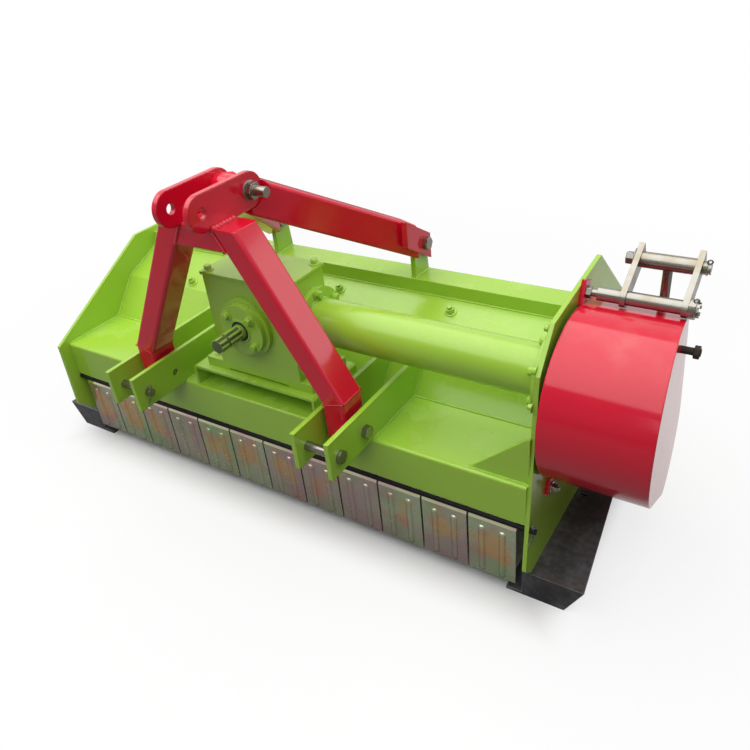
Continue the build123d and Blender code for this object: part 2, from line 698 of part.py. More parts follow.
def tensioner():
    """Shaft bolted to the guard's tab, link arms, sleeve and hanging rod of the belt tensioner."""
    pin_y, pin_z = tension_y + tension_run, tension_z + tension_rise
    first_x = outer_half + tension_first
    arm_x = (first_x, first_x + tension_spread)
    last_x = arm_x[1] + tension_arm_t + tension_overhang
    tube_x = guard_x + tension_bolt_l
    shaft = bar_x(tube_x, last_x, tension_y, tension_z, tension_shaft_d / 2)
    shaft += bar_x(outer_half, tube_x, tension_y, tension_z, tension_bolt_d / 2)
    shaft += hex_x(guard_x, 1, tension_y, tension_z, tension_bolt_d)
    lean = math.degrees(math.atan2(tension_rise, tension_run))
    length = math.hypot(tension_run, tension_rise) + tension_arm_head
    link = Circle(tension_arm_w / 2) + Pos(length / 2, 0) * Rectangle(length, tension_arm_w)
    link = Pos(tension_y, tension_z) * Rot(0, 0, lean) * link
    link -= Pos(tension_y, tension_z) * Circle(tension_shaft_d / 2)
    link -= Pos(pin_y, pin_z) * Circle(tension_pin_d / 2)
    arms = [prism_x(link, x, x + tension_arm_t) for x in arm_x]
    pin = bar_x(arm_x[0] - tension_overhang, last_x, pin_y, pin_z, tension_pin_d / 2)
    pin += bar_x(arm_x[0] + tension_arm_t, arm_x[1], pin_y, pin_z, tension_sleeve_d / 2)
    rod_x = (arm_x[0] + tension_arm_t + arm_x[1]) / 2
    rod = Pos(rod_x, pin_y, (pin_z + guard_z) / 2) * Cylinder(tension_pin_d / 2, pin_z - guard_z)
    rod -= guard_body(0)
    return {
        "tensioner_shaft": shaft,
        "tensioner_arms": Compound(children=arms),
        "tensioner_rod": pin + rod,
    }


def rotor():
    """Flail rotor: tube with end discs, pinned lug pairs in helical rows and a hammer flail on each pin."""
    tube = bar_x(-rotor_half, rotor_half, 0, 0, rotor_tube_r)
    for x in (-rotor_half, rotor_half - rotor_disc_t):
        tube += bar_x(x, x + rotor_disc_t, 0, 0, rotor_disc_r)
    tube += bar_x(-outer_half - bearing_t, pulley_x + pulley_w, 0, 0, rotor_shaft_d / 2)
    lug_top = lug_hole_r + flail_pin_d
    lug = polygon([(-lug_w / 2, 0), (lug_w / 2, 0), (lug_w / 2, lug_hole_r), (lug_w / 4, lug_top),
                   (-lug_w / 4, lug_top), (-lug_w / 2, lug_hole_r)])
    inner = flail_neck_w / 2 + flail_play
    outer = inner + lug_t
    pair = prism_x(lug, inner, outer) + prism_x(lug, -outer, -inner)
    pair -= bar_x(-outer, outer, 0, 0, rotor_tube_r)
    pair += bar_x(-inner, inner, 0, lug_hole_r, flail_pin_d / 2)
    for side in (-1, 1):
        pair += hex_x(side * outer, side, 0, lug_hole_r, flail_pin_d)
    tip_z = flail_r - flail_tip_h
    neck = tangent_hull((0, lug_hole_r), flail_eye_r, (0, tip_z), flail_t / 2)
    neck -= Pos(0, lug_hole_r) * Circle(flail_pin_d / 2 + flail_play)
    hammer = prism_x(neck, -flail_neck_w / 2, flail_neck_w / 2)
    hammer += prism_y(polygon([
        (-flail_neck_w / 2, tip_z - flail_flare), (flail_neck_w / 2, tip_z - flail_flare),
        (flail_tip_w / 2, tip_z), (flail_tip_w / 2, flail_r), (-flail_tip_w / 2, flail_r),
        (-flail_tip_w / 2, tip_z)]), -flail_t / 2, flail_t / 2)
    count = flail_rows * flails_per_row
    row_turn = 360 / flail_rows
    pitch = 2 * (rotor_half - rotor_disc_t - flail_tip_w / 2 - flail_end_gap) / (count - 1)
    lugs, hammers = [], []
    for index in range(count):
        place = Pos((index - (count - 1) / 2) * pitch, 0, 0) * Rot(row_turn * (index + index / count), 0, 0)
        lugs.append(place * pair)
        hammers.append(place * hammer)
    axis = Pos(0, rotor_y, rotor_z)
    plate = Pos(rotor_y, rotor_z) * RectangleRounded(bearing_flange, bearing_flange, bearing_corner_r)
    housing = prism_x(plate, outer_half, outer_half + bearing_flange_t)
    housing += bar_x(outer_half, outer_half + bearing_t, rotor_y, rotor_z, bearing_r)
    housing -= bar_x(0, 2 * outer_half, rotor_y, rotor_z, rotor_shaft_d / 2 + bearing_play)
    housings = [housing, mirror(housing, about=Plane.YZ)]
    return {
        "rotor_tube": axis * (tube + lugs),
        "rotor_flails": axis * Compound(children=hammers),
        "rotor_bearings": Compound(children=housings),
    }


def counter_knives():
    """Toothed bar bolted under the hood's slope, facing the flails."""
    lean = math.atan2(slope_rise, slope_run)
    seat = hood_line[3]
    middle = moved(seat, (math.cos(lean), math.sin(lean)), math.hypot(slope_run, slope_rise) / 2)
    place = Pos(0, *moved(middle, (math.sin(lean), -math.cos(lean)), sheet_t)) * Rot(math.degrees(lean), 0, 0)
    half = inner_half - knife_margin
    bar = block(-half, half, -knife_bar_w / 2, knife_bar_w / 2, -knife_bar_t, 0)
    tooth = polygon([(-knife_tooth_w / 2, -knife_bar_t), (knife_tooth_w / 2, -knife_bar_t),
                     (0, -knife_bar_t - knife_tooth_h)])
    tooth = prism_y(tooth, -flail_t / 2, flail_t / 2)
    count = int(2 * half / (2 * knife_tooth_w))
    teeth = [Pos((index - (count - 1) / 2) * 2 * knife_tooth_w, 0, 0) * tooth for index in range(count)]
    return {"counter_knives": place * (bar + teeth)}


def assemble():
    """All pieces by name, and the move that stands the machine centred on the origin."""
    pieces = {}
    for make in (hood, end_plates, skids, flaps, hitch, mast, struts, gearbox, cross_drive, guard, tensioner,
                 rotor, counter_knives):
        pieces.update(make())
    boxes = [piece.bounding_box() for piece in pieces.values()]
    low = [min(getattr(box.min, axis) for box in boxes) for axis in "XYZ"]
    high = [max(getattr(box.max, axis) for box in boxes) for axis in "XYZ"]
    return pieces, Vector(-(low[0] + high[0]) / 2, -(low[1] + high[1]) / 2, -low[2])


def main():
    pieces, move = assemble()
    os.makedirs("parts", exist_ok=True)
    for name, piece in pieces.items():
        export_step(Pos(*move) * piece, f"parts/{name}.step")


if __name__ == "__main__":
    main()
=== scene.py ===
"""Looks of a straw mulcher: sprayed enamel, zinc plate, scuffed skids, bolts, split pins and weld beads."""
import json
import math
from contextlib import contextmanager

import bmesh
import bpy
from bpy.props import FloatProperty, FloatVectorProperty, IntProperty, PointerProperty
from mathutils import Matrix, Vector


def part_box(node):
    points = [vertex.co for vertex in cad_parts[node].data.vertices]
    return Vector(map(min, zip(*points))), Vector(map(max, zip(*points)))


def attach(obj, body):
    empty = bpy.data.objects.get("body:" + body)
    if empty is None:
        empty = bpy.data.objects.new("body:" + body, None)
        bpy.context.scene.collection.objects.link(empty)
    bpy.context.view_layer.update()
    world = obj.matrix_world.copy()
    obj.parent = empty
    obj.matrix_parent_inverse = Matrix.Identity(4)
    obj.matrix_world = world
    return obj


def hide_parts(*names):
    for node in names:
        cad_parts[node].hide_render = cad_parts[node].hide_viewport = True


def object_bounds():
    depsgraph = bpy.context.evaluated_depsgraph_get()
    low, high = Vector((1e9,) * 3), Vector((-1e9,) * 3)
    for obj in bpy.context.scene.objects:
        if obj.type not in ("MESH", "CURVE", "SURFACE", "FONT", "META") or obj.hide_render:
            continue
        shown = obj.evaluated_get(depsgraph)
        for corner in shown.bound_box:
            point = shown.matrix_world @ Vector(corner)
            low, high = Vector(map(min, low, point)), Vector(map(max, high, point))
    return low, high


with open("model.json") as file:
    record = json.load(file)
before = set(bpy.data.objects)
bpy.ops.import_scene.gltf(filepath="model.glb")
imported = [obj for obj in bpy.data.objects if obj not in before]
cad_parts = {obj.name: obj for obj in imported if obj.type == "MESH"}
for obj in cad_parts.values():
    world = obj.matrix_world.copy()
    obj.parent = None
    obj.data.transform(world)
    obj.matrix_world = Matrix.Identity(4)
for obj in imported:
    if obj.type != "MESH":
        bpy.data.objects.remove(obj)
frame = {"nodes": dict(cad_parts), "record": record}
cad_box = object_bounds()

bl_info = {
    "name": "Straw mulcher",
    "version": (1, 0, 0),
    "blender": (4, 5, 0),
    "location": "View3D > Sidebar > Mulcher",
    "description": "Paint, plating, fasteners and welds of a three-point straw mulcher",
    "category": "Object",
}

BODY = "frame"
X, Y, Z = Vector((1, 0, 0)), Vector((0, 1, 0)), Vector((0, 0, 1))
SLOPE = Vector((0, 0.143, 0.059))  # run and rise of the hood's slope up to the beam
TUBE_FLANGE = 0.014  # thickness of the drive tube's flanges
CROWN_PARTS = 12  # teeth and gaps of a slotted nut
FLAPS = sorted(name for name in frame["nodes"] if name.startswith("flap_") and name != "flap_rod")


def colour_property(name, description, default):
    return FloatVectorProperty(name=name, description=description, default=default, subtype="COLOR", size=3,
                               min=0, max=1)


def length_property(name, description, default):
    return FloatProperty(name=name, description=description, default=default, min=0,
                         subtype="DISTANCE", unit="LENGTH")


def angle_property(name, description, degrees):
    return FloatProperty(name=name, description=description, default=math.radians(degrees),
                         subtype="ANGLE")


def level_property(name, description, default):
    return FloatProperty(name=name, description=description, default=default, min=0)


class PaintSettings(bpy.types.PropertyGroup):
    """Colours of the paints and platings"""
    green: colour_property("Green", "Yellow-green enamel of the hood and hitch", (0.352, 0.60, 0.048))
    red: colour_property("Red", "Red enamel of the mast and belt guard", (0.67, 0.006, 0.030))
    black: colour_property("Black", "Paint of the skids and flap rod", (0.012, 0.0115, 0.012))
    oxide: colour_property("Oxide", "Brown-black of the idler's bolt", (0.050, 0.044, 0.034))
    scuffed: colour_property("Scuffed black", "Rubbed paint of the skids", (0.050, 0.049, 0.053))
    dust: colour_property("Dust", "Dry dust on the skids", (0.22, 0.218, 0.225))
    dirt: colour_property("Dirt", "Brown dirt on the skids", (0.13, 0.095, 0.075))
    zinc: colour_property("Zinc", "Bright plate of pins and bolts", (0.25, 0.24, 0.21))
    passivated: colour_property("Passivated zinc", "Grey-green ground of the flaps", (0.46, 0.51, 0.35))
    gold: colour_property("Gold blush", "Yellow blush on the flaps", (0.64, 0.42, 0.16))
    rose: colour_property("Rose blush", "Pink blush on the flaps", (0.60, 0.28, 0.22))
    mauve: colour_property("Mauve blush", "Violet blush on the flaps", (0.46, 0.31, 0.32))
    sea: colour_property("Sea-green blush", "Cool blush on the flaps", (0.35, 0.48, 0.25))
    steel: colour_property("Steel", "Oiled bare steel", (0.26, 0.25, 0.23))
    rubber: colour_property("Rubber", "Belts and the input shaft's seal", (0.018, 0.018, 0.018))
    sheet_edge: length_property("Sheet edge", "Radius that softens the green sheet edges", 0.0025)
    tube_edge: length_property("Tube edge", "Radius that softens the red tube edges", 0.005)


class FastenerSettings(bpy.types.PropertyGroup):
    """Sizes of bolts and split pins"""
    m8: length_property("M8", "Width across flats of an M8 head", 0.013)
    m10: length_property("M10", "Width across flats of an M10 head", 0.017)
    m12: length_property("M12", "Width across flats of an M12 head", 0.019)
    wire: length_property("Split pin wire", "Thickness of a split pin's leg", 0.0034)


class FlapSettings(bpy.types.PropertyGroup):
    """The hinged flaps"""
    thickness: length_property("Sheet", "Thickness of a flap", 0.003)
    rib_width: length_property("Rib width", "Width of a pressed rib", 0.016)
    rib_height: length_property("Rib height", "Height of a pressed rib", 0.0055)
    rib_spacing: length_property("Rib spacing", "Distance between the two ribs", 0.052)
    rib_top: length_property("Rib top", "From the rod down to a rib's upper end", 0.036)
    rib_foot: length_property("Rib foot", "From a rib's lower end to the flap's edge", 0.008)
    bend: length_property("Bend", "Radius of the bend between the leaf and its sloped strip", 0.004)
    lean: angle_property("Lean", "Slope of the strip between the leaf and its hook", 28)
    hook: angle_property("Hook", "Turn of the sheet round the rod", 190)
    columns: IntProperty(name="Columns", description="Cells across a flap", default=60, min=8)
    rows: IntProperty(name="Rows", description="Cells down a flap", default=82, min=8)


class WeldSettings(bpy.types.PropertyGroup):
    """Weld beads"""
    width: length_property("Width", "Width of a fillet bead", 0.009)
    pitch: length_property("Pitch", "Distance between the ripples of a bead", 0.0045)
    sides: IntProperty(name="Sides", description="Segments of one ripple", default=8, min=4)


class StageSettings(bpy.types.PropertyGroup):
    """Floor, light and camera"""
    floor: colour_property("Floor", "Pale studio floor", (0.86, 0.86, 0.86))
    extent: length_property("Extent", "Side of the floor", 60.0)
    bounce: level_property("Bounce", "Share of the floor's colour that lights the machine", 0.15)
    ambient: level_property("Ambient", "Light of the sky on matt surfaces", 0.12)
    front_sky: level_property("Front sky", "Level of the mirrored sky towards the front", 0.35)
    mirrored: level_property("Mirrored floor", "Level of the floor in reflections", 0.16)
    mirror: level_property("Mirror", "Brightness added to the floor that the belt guard mirrors", 2.6)
    mirror_reach: length_property("Mirror reach", "Width of the floor that the belt guard mirrors", 0.45)
    glow: level_property("Glow", "Share of plain white near the machine", 0.78)
    glow_edge: length_property("Glow edge", "Width over which the white begins beside the hood", 0.12)
    glow_reach: length_property("Glow reach", "Distance from the hood to the plain white floor", 1.6)
    azimuth: angle_property("Azimuth", "Camera's turn towards the belt side", 35.70)
    elevation: angle_property("Elevation", "Camera's height angle", 32.73)
    roll: angle_property("Roll", "Camera's tilt about its own axis", 6.43)
    lens: level_property("Lens", "Focal length in millimetres", 34.73)
    sensor: level_property("Sensor", "Width of the camera's sensor in millimetres", 36.0)
    camera_from_apron: FloatVectorProperty(
        name="Camera place", description="From the left lower corner of the apron", subtype="TRANSLATION",
        unit="LENGTH", default=(1.9729, -1.1062, 1.1801))


class Field:
    """A value that changes over a surface: an expression on it adds Math nodes."""

    def __init__(self, shading, socket):
        self.shading = shading
        self.socket = socket

    def math(self, operation, first, second=0.0):
        return self.shading.node("ShaderNodeMath", {"operation": operation}, {0: first, 1: second})

    def __add__(self, other):
        return self.math("ADD", self, other)

    def __radd__(self, other):
        return self.math("ADD", other, self)

    def __sub__(self, other):
        return self.math("SUBTRACT", self, other)

    def __rsub__(self, other):
        return self.math("SUBTRACT", other, self)

    def __mul__(self, other):
        return self.math("MULTIPLY", self, other)

    def __rmul__(self, other):
        return self.math("MULTIPLY", other, self)

    def __abs__(self):
        return self.math("ABSOLUTE", self)

    def fraction(self):
        return self.math("FRACT", self)

    def most(self, other):
        return self.math("MAXIMUM", self, other)


class Shading:
    """Makes the nodes of one node tree."""

    def __init__(self, tree):
        self.tree = tree

    def node(self, kind, settings=None, inputs=None, output=0):
        """Add a node: its settings first, then the values or links of its sockets."""
        node = self.tree.nodes.new(kind)
        for name, value in (settings or {}).items():
            setattr(node, name, value)
        for key, value in (inputs or {}).items():
            self.feed(node.inputs[key], value)
        return Field(self, node.outputs[output])

    def feed(self, socket, value):
        if isinstance(value, Field):
            self.tree.links.new(value.socket, socket)
        else:
            socket.default_value = value

    def step(self, value, low, high):
        """Smooth rise from 0 to 1 between two levels."""
        return self.node("ShaderNodeMapRange", {"interpolation_type": "SMOOTHSTEP"},
                         {"Value": value, "From Min": low, "From Max": high})

    def along(self, vector, axis):
        return self.node("ShaderNodeSeparateXYZ", None, {0: vector}, axis)

    def surface(self, output):
        return self.node("ShaderNodeNewGeometry", output=output)

    def ray(self, kind):
        """1 on rays of one kind and 0 on others."""
        return self.node("ShaderNodeLightPath", output=kind)


class Finish(Shading):
    """A material in the making, on Object coordinates."""

    def __init__(self, name):
        self.material = bpy.data.materials.new(name)
        self.material.use_nodes = True
        super().__init__(self.material.node_tree)
        self.shader = self.tree.nodes["Principled BSDF"]
        self.place = self.node("ShaderNodeTexCoord", output="Object")

    def noise(self, scale, detail=3.0, stretch=None):
        place = self.place
        if stretch:
            place = self.node("ShaderNodeMapping", None, {"Vector": place, "Scale": stretch}, "Vector")
        inputs = {"Vector": place, "Scale": scale, "Detail": detail}
        return self.node("ShaderNodeTexNoise", None, inputs, "Fac")

    def random(self, seed):
        """One value between 0 and 1 for each seed."""
        return self.node("ShaderNodeTexWhiteNoise", {"noise_dimensions": "1D"}, {"W": seed})

    def mix(self, first, second, share):
        colours = {0: share, 6: opaque(first), 7: opaque(second)}
        return self.node("ShaderNodeMix", {"data_type": "RGBA"}, colours, 2)

    def vector(self, operation, *values, output="Vector"):
        return self.node("ShaderNodeVectorMath", {"operation": operation}, dict(enumerate(values)), output)

    def soft_edge(self, radius):
        """Normal rounded over near-by edges, and a mask that is 1 on those edges."""
        rounded = self.node("ShaderNodeBevel", {"samples": 6}, {"Radius": radius})
        same = self.vector("DOT_PRODUCT", rounded, self.surface("Normal"), output="Value")
        return rounded, self.step(1 - same, 0.02, 0.25)

    def facing_up(self):
        return self.along(self.surface("Normal"), "Z")

    def bump(self, height, strength, distance, normal=None):
        inputs = {"Height": height, "Strength": strength, "Distance": distance}
        if normal:
            inputs["Normal"] = normal
        return self.node("ShaderNodeBump", None, inputs)

    def done(self, **sockets):
        """Set the shader's sockets, which are named here in lower case."""
        for name, value in sockets.items():
            self.feed(self.shader.inputs[name.replace("_", " ").title()], value)
        return self.material


def opaque(colour):
    return colour if isinstance(colour, Field) else (*colour[:3], 1.0)


def shade(colour, factor):
    """A plain colour made lighter or darker."""
    return tuple(min(1.0, part * factor) for part in colour[:3])


def enamel(name, colour, edge_round, matt, gloss):
    """Sprayed enamel: orange peel, thinner and paler on edges, the paleness partly a painted edge highlight, a
    little dust on top, rare chips.
    """
    dust_colour, chip_colour = (0.72, 0.72, 0.55), (0.11, 0.10, 0.085)
    paint = Finish(name)
    rounded, edge = paint.soft_edge(edge_round)
    cloud = paint.noise(2.3, 4.0)
    speck = paint.noise(210.0, 2.0)
    coat = paint.mix(shade(colour, 0.86), shade(colour, 1.1), cloud)
    # Paler edges: thinner paint there, and also a painted highlight along the edges.
    coat = paint.mix(coat, shade(colour, 1.35), edge * 0.45)
    dust = paint.step(paint.facing_up(), 0.55, 0.95) * paint.step(paint.noise(9.0, 6.0), 0.5, 0.85)
    coat = paint.mix(coat, dust_colour, dust * 0.16)
    chip = edge * paint.step(paint.noise(55.0, 5.0), 0.66, 0.70)
    coat = paint.mix(coat, chip_colour, chip * 0.85)
    rough = matt * (0.7 + 0.6 * paint.noise(14.0, 5.0)) + 0.30 * dust + 0.2 * chip
    normal = paint.bump(speck, 0.012, 0.0015, rounded)
    normal = paint.bump(paint.noise(4.0, 0.0), 0.05, 0.010, normal)
    paint.shader.inputs["Specular IOR Level"].default_value = gloss
    return paint.done(base_color=coat, roughness=rough, coat_weight=0.16 - 0.14 * chip, normal=normal,
                      coat_roughness=0.05)


def flap_zinc(name, paints):
    """Yellow passivated zinc: each flap has its own mauve, rose and gold film; painted highlights, pale on the
    top strip and faint on edges.
    """
    strip_low, strip_high = 0.0205, 0.0175  # from the rod's axis down to where the painted highlight on the strip begins and is full
    highlight_gold, highlight_rose = (1.0, 0.98, 0.62), (1.0, 0.72, 0.62)
    plate = Finish(name)
    rounded, edge = plate.soft_edge(0.0015)
    first, last, rod = middle(FLAPS[0]), middle(FLAPS[-1]), middle("flap_rod")
    pitch = (last.x - first.x) / (len(FLAPS) - 1)
    along = plate.along(plate.place, "X") * (1 / pitch) + (0.5 - first.x / pitch)
    flap = along - along.fraction()
    own, other = plate.random(flap), plate.random(flap + 0.5)
    across = abs(along.fraction() - 0.5)
    height = plate.along(plate.place, "Z")
    down = abs(height - first.z) * (1 / pitch)
    cloud = plate.noise(5.0, 2.0)
    mottle = plate.noise(48.0, 3.0) - 0.5
    core = 1 - plate.step(across.most(down * 0.85), 0.0, 0.62)
    tint = plate.mix(paints.passivated, paints.sea, plate.step(plate.noise(8.0, 3.0), 0.42, 0.62))
    tint = plate.mix(tint, paints.mauve, plate.step(cloud + 0.45 * own, 0.66, 1.02) * 0.9)
    rose = plate.step(plate.noise(15.0, 2.0) + 0.25 * core * other + 0.08 * mottle, 0.56, 0.80)
    tint = plate.mix(tint, paints.rose, rose * 0.75)
    gold = plate.step(plate.noise(12.0, 2.0) + 0.50 * core * other + 0.12 * mottle, 0.64, 0.90)
    tint = plate.mix(tint, paints.gold, gold * 0.65)
    # Painted highlight: the strip at the top and, faintly, the edges are mixed towards pale gold and rose in
    # place of the sky's reflection.
    strip = plate.step(height, rod.z - strip_low, rod.z - strip_high)
    painted_sheen = plate.mix(highlight_gold, highlight_rose, plate.step(plate.noise(9.0, 2.0), 0.44, 0.60))
    tint = plate.mix(tint, painted_sheen, (strip * 0.95).most(edge * 0.15))
    streak = plate.noise(40.0, 5.0, stretch=(14.0, 14.0, 0.5))
    rough = 0.24 + 0.12 * mottle + 0.03 * streak - 0.15 * strip
    normal = plate.bump(streak, 0.015, 0.002, rounded)
    return plate.done(base_color=tint, roughness=rough, metallic=0.7 + 0.3 * strip, normal=normal)


def bright_zinc(name, colour):
    """Bright zinc plate with a faint yellow cast and handling stains."""
    stain_colour, worn_colour = (0.24, 0.19, 0.11), (0.50, 0.48, 0.42)
    plate = Finish(name)
    rounded, edge = plate.soft_edge(0.0012)
    stain = plate.noise(32.0, 6.0)
    tint = plate.mix(shade(colour, 1.12), stain_colour, plate.step(stain, 0.42, 0.72) * 0.6)
    tint = plate.mix(tint, worn_colour, edge * 0.5)
    rough = 0.12 + 0.22 * stain
    normal = plate.bump(stain, 0.05, 0.002, rounded)
    return plate.done(base_color=tint, roughness=rough, metallic=0.92, normal=normal)


def skid_black(name, paints):
    """Satin black: oxide brown on the high bolt, and scuffed, dusty and worn near the ground."""
    wear_low, wear_high = 0.10, 0.16  # heights between which the wear from the ground ends
    bolt_low, bolt_high = 0.40, 0.50  # heights between which the bolt's brown begins
    paint = Finish(name)
    rounded, edge = paint.soft_edge(0.004)
    smear = paint.noise(5.0, 6.0, stretch=(1.0, 0.5, 1.0))
    grain = paint.noise(60.0, 5.0)
    height = paint.along(paint.place, "Z")
    low, high = 1 - paint.step(height, wear_low, wear_high), paint.step(height, bolt_low, bolt_high)
    dusty = low * paint.step(smear + 0.3 * grain, 0.54, 0.84)
    soiled = low * paint.step(paint.noise(14.0, 6.0), 0.48, 0.72)
    worn = low * edge * paint.step(smear, 0.30, 0.52)
    tint = paint.mix(paints.black, paints.oxide, high)
    tint = paint.mix(tint, paints.scuffed, low)
    tint = paint.mix(tint, paints.dust, dusty * 0.65)
    tint = paint.mix(tint, paints.dirt, soiled * 0.35)
    tint = paint.mix(tint, shade(paints.dust, 1.9), worn * 0.7)
    rough = 0.48 + 0.25 * dusty + 0.14 * grain
    normal = paint.bump(smear + 0.3 * grain, 0.18, 0.006, rounded)
    paint.shader.inputs["Specular IOR Level"].default_value = 0.12
    return paint.done(base_color=tint, roughness=rough, normal=normal)


def oiled_steel(name, colour):
    """Machined steel with patches of dark oil and bright edges."""
    steel = Finish(name)
    rounded, edge = steel.soft_edge(0.0012)
    oil = steel.noise(42.0, 6.0)
    tint = steel.mix(shade(colour, 1.1), shade(colour, 0.45), steel.step(oil, 0.32, 0.72))
    tint = steel.mix(tint, shade(colour, 2.0), edge * 0.5)
    rough = 0.30 + 0.25 * oil
    normal = steel.bump(oil, 0.1, 0.002, rounded)
    return steel.done(base_color=tint, roughness=rough, metallic=0.85, normal=normal)


def sprayed_steel(name, paints):
    """Bare steel under a thin coat of green, darker in the grooves."""
    groove_radius, crest_radius = 0.0160, 0.0178
    groove_colour, worn_colour = (0.020, 0.022, 0.010), (0.50, 0.50, 0.40)
    steel = Finish(name)
    rounded, edge = steel.soft_edge(0.0015)
    from_axis = steel.vector("MULTIPLY", steel.vector("SUBTRACT", steel.place, middle("input_shaft")), X + Z)
    radius = steel.vector("LENGTH", from_axis, output="Value")
    groove = 1 - steel.step(radius, groove_radius, crest_radius)
    spray = steel.step(steel.noise(55.0, 4.0), 0.22, 0.44)
    tint = steel.mix(shade(paints.steel, 1.2), shade(paints.green, 0.85), spray * 0.9)
    # Darker in the grooves of the splines.
    tint = steel.mix(tint, groove_colour, groove * 0.85)
    tint = steel.mix(tint, worn_colour, edge * 0.4)
    rough = 0.28 + 0.1 * spray
    return steel.done(base_color=tint, roughness=rough, metallic=0.6 - 0.6 * spray, normal=rounded)


def belt_rubber(name, colour):
    """Matt rubber with lint."""
    rubber = Finish(name)
    lint = rubber.noise(160.0, 4.0)
    tint = rubber.mix(colour, shade(colour, 3.0), rubber.step(lint, 0.55, 0.8))
    return rubber.done(base_color=tint, roughness=0.66 + 0.2 * lint, normal=rubber.bump(lint, 0.2, 0.001))


finishes = {}


def make_finishes(paints):
    """One material for each finish of the record, and one for the input shaft."""
    finishes.update(
        green_paint=enamel("green enamel", paints.green, paints.sheet_edge, matt=0.24, gloss=0.5),
        red_paint=enamel("red enamel", paints.red, paints.tube_edge, matt=0.12, gloss=0.38),
        yellow_zinc=flap_zinc("passivated zinc", paints),
        bright_zinc=bright_zinc("bright zinc", paints.zinc),
        black_paint=skid_black("skid black", paints),
        bare_steel=oiled_steel("oiled steel", paints.steel),
        belt_rubber=belt_rubber("belt rubber", paints.rubber),
        sprayed_steel=sprayed_steel("sprayed steel", paints),
    )


def only(piece):
    """Make one object the selected and active one."""
    bpy.ops.object.select_all(action="DESELECT")
    piece.select_set(True)
    bpy.context.view_layer.objects.active = piece


def add(kind, **size):
    """Add a primitive with nothing else selected."""
    bpy.ops.object.select_all(action="DESELECT")
    getattr(bpy.ops.mesh, f"primitive_{kind}_add")(**size)
    return bpy.context.object


@contextmanager
def editing(piece):
    """Edit mode on one piece."""
    only(piece)
    bpy.ops.object.mode_set(mode="EDIT")
    yield
    bpy.ops.object.mode_set(mode="OBJECT")


def pick(piece, kind, test):
    """In edit mode, select the vertices, edges or faces that pass a test."""
    bpy.ops.mesh.select_mode(type={"verts": "VERT", "edges": "EDGE", "faces": "FACE"}[kind])
    bpy.ops.mesh.select_all(action="DESELECT")
    mesh = bmesh.from_edit_mesh(piece.data)
    for element in getattr(mesh, kind):
        if test(element):
            element.select_set(True)
    bmesh.update_edit_mesh(piece.data)


def join(parts):
    """Join parts with their places applied, so that the whole sits at the origin."""
    bpy.ops.object.select_all(action="DESELECT")
    for part in parts:
        part.select_set(True)
    bpy.context.view_layer.objects.active = parts[0]
    bpy.ops.object.transform_apply(location=True, rotation=True, scale=True)
    if len(parts) > 1:
        bpy.ops.object.join()
    return bpy.context.object


def placed(master, point, axis, spin=0.0):
    """A copy of a piece that was modelled along +Z, standing at a point along an axis."""
    only(master)
    bpy.ops.object.duplicate(linked=False)
    copy = bpy.context.object
    turn = Z.rotation_difference(Vector(axis)).to_matrix().to_4x4()
    copy.matrix_world = Matrix.Translation(point) @ turn @ Matrix.Rotation(spin, 4, "Z")
    return copy


def discard(*masters):
    for master in masters:
        only(master)
        bpy.ops.object.delete()


def dress(piece, name, slot, body=BODY, angle=35):
    """Name a finished piece, give it its finish and let it ride on a body."""
    piece.name = name
    piece.data.name = name
    piece.data.materials.clear()
    piece.data.materials.append(finishes[slot])
    only(piece)
    bpy.ops.object.shade_smooth_by_angle(angle=math.radians(angle))
    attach(piece, body)
    return piece


def middle(node):
    low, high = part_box(node)
    return (low + high) / 2


def slope_foot():
    """Lower edge of the hood's slope, at the left end plate."""
    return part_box("hood_beam")[0] - SLOPE


def rim_bevel(piece, width):
    """Round all sharp edges of a piece in edit mode."""
    with editing(piece):
        pick(piece, "edges", lambda edge: edge.calc_face_angle(0) > math.radians(40))
        bpy.ops.mesh.bevel(offset=width, segments=2, affect="EDGES")


def rises(edge, length):
    """True on an edge that climbs more than a length."""
    return abs(edge.verts[0].co.z - edge.verts[1].co.z) > length


def hex_head(across, height):
    """Hexagon head with a chamfered crown, from z = 0."""
    head = add("cylinder", vertices=6, radius=across / math.sqrt(3), depth=height,
               location=(0, 0, height / 2))
    with editing(head):
        pick(head, "faces", lambda face: face.normal.z > 0.9)
        bpy.ops.mesh.inset(thickness=across * 0.055)
        bpy.ops.transform.translate(value=(0, 0, height * 0.10))
        pick(head, "edges", lambda edge: rises(edge, height * 0.8))
        bpy.ops.mesh.bevel(offset=across * 0.03, segments=2, affect="EDGES")
    return head


def washer(radius, thickness):
    disc = add("cylinder", vertices=28, radius=radius, depth=thickness, location=(0, 0, thickness / 2))
    rim_bevel(disc, thickness * 0.3)
    return disc


def thread(radius, pitch, turns):
    """Ridged bolt end from z = 0: one ridge, repeated along the axis."""
    root = 0.86  # share of the radius at the foot of the ridges
    ridge = add("cylinder", vertices=18, radius=radius * root, depth=pitch, location=(0, 0, pitch / 2))
    with editing(ridge):
        pick(ridge, "edges", lambda edge: rises(edge, pitch / 2))
        bpy.ops.mesh.subdivide(number_cuts=1)
        pick(ridge, "verts", lambda vertex: abs(vertex.co.z) < pitch / 4)
        bpy.ops.transform.resize(value=(1 / root, 1 / root, 1), center_override=(0, 0, pitch / 2))
    repeat(ridge, turns, (0, 0, pitch))
    return ridge


def repeat(piece, count, offset):
    """Repeat a piece by a constant step and apply it."""
    only(piece)
    array = piece.modifiers.new("repeat", "ARRAY")
    array.count = count
    array.use_relative_offset = False
    array.use_constant_offset = True
    array.constant_offset_displace = offset
    bpy.ops.object.modifier_apply(modifier=array.name)


def bolt(across, stub=0.0):
    """Bolt head or nut on a washer, seat at z = 0, with a threaded end where it has one."""
    flat, height = across * 0.12, across * 0.62
    head = hex_head(across, height)
    head.location.z += flat
    parts = [washer(across * 0.88, flat), head]
    if stub:
        pitch = across * 0.085
        end = thread(across * 0.33, pitch, round(stub / pitch))
        end.location.z += flat + height
        parts.append(end)
    return join(parts)


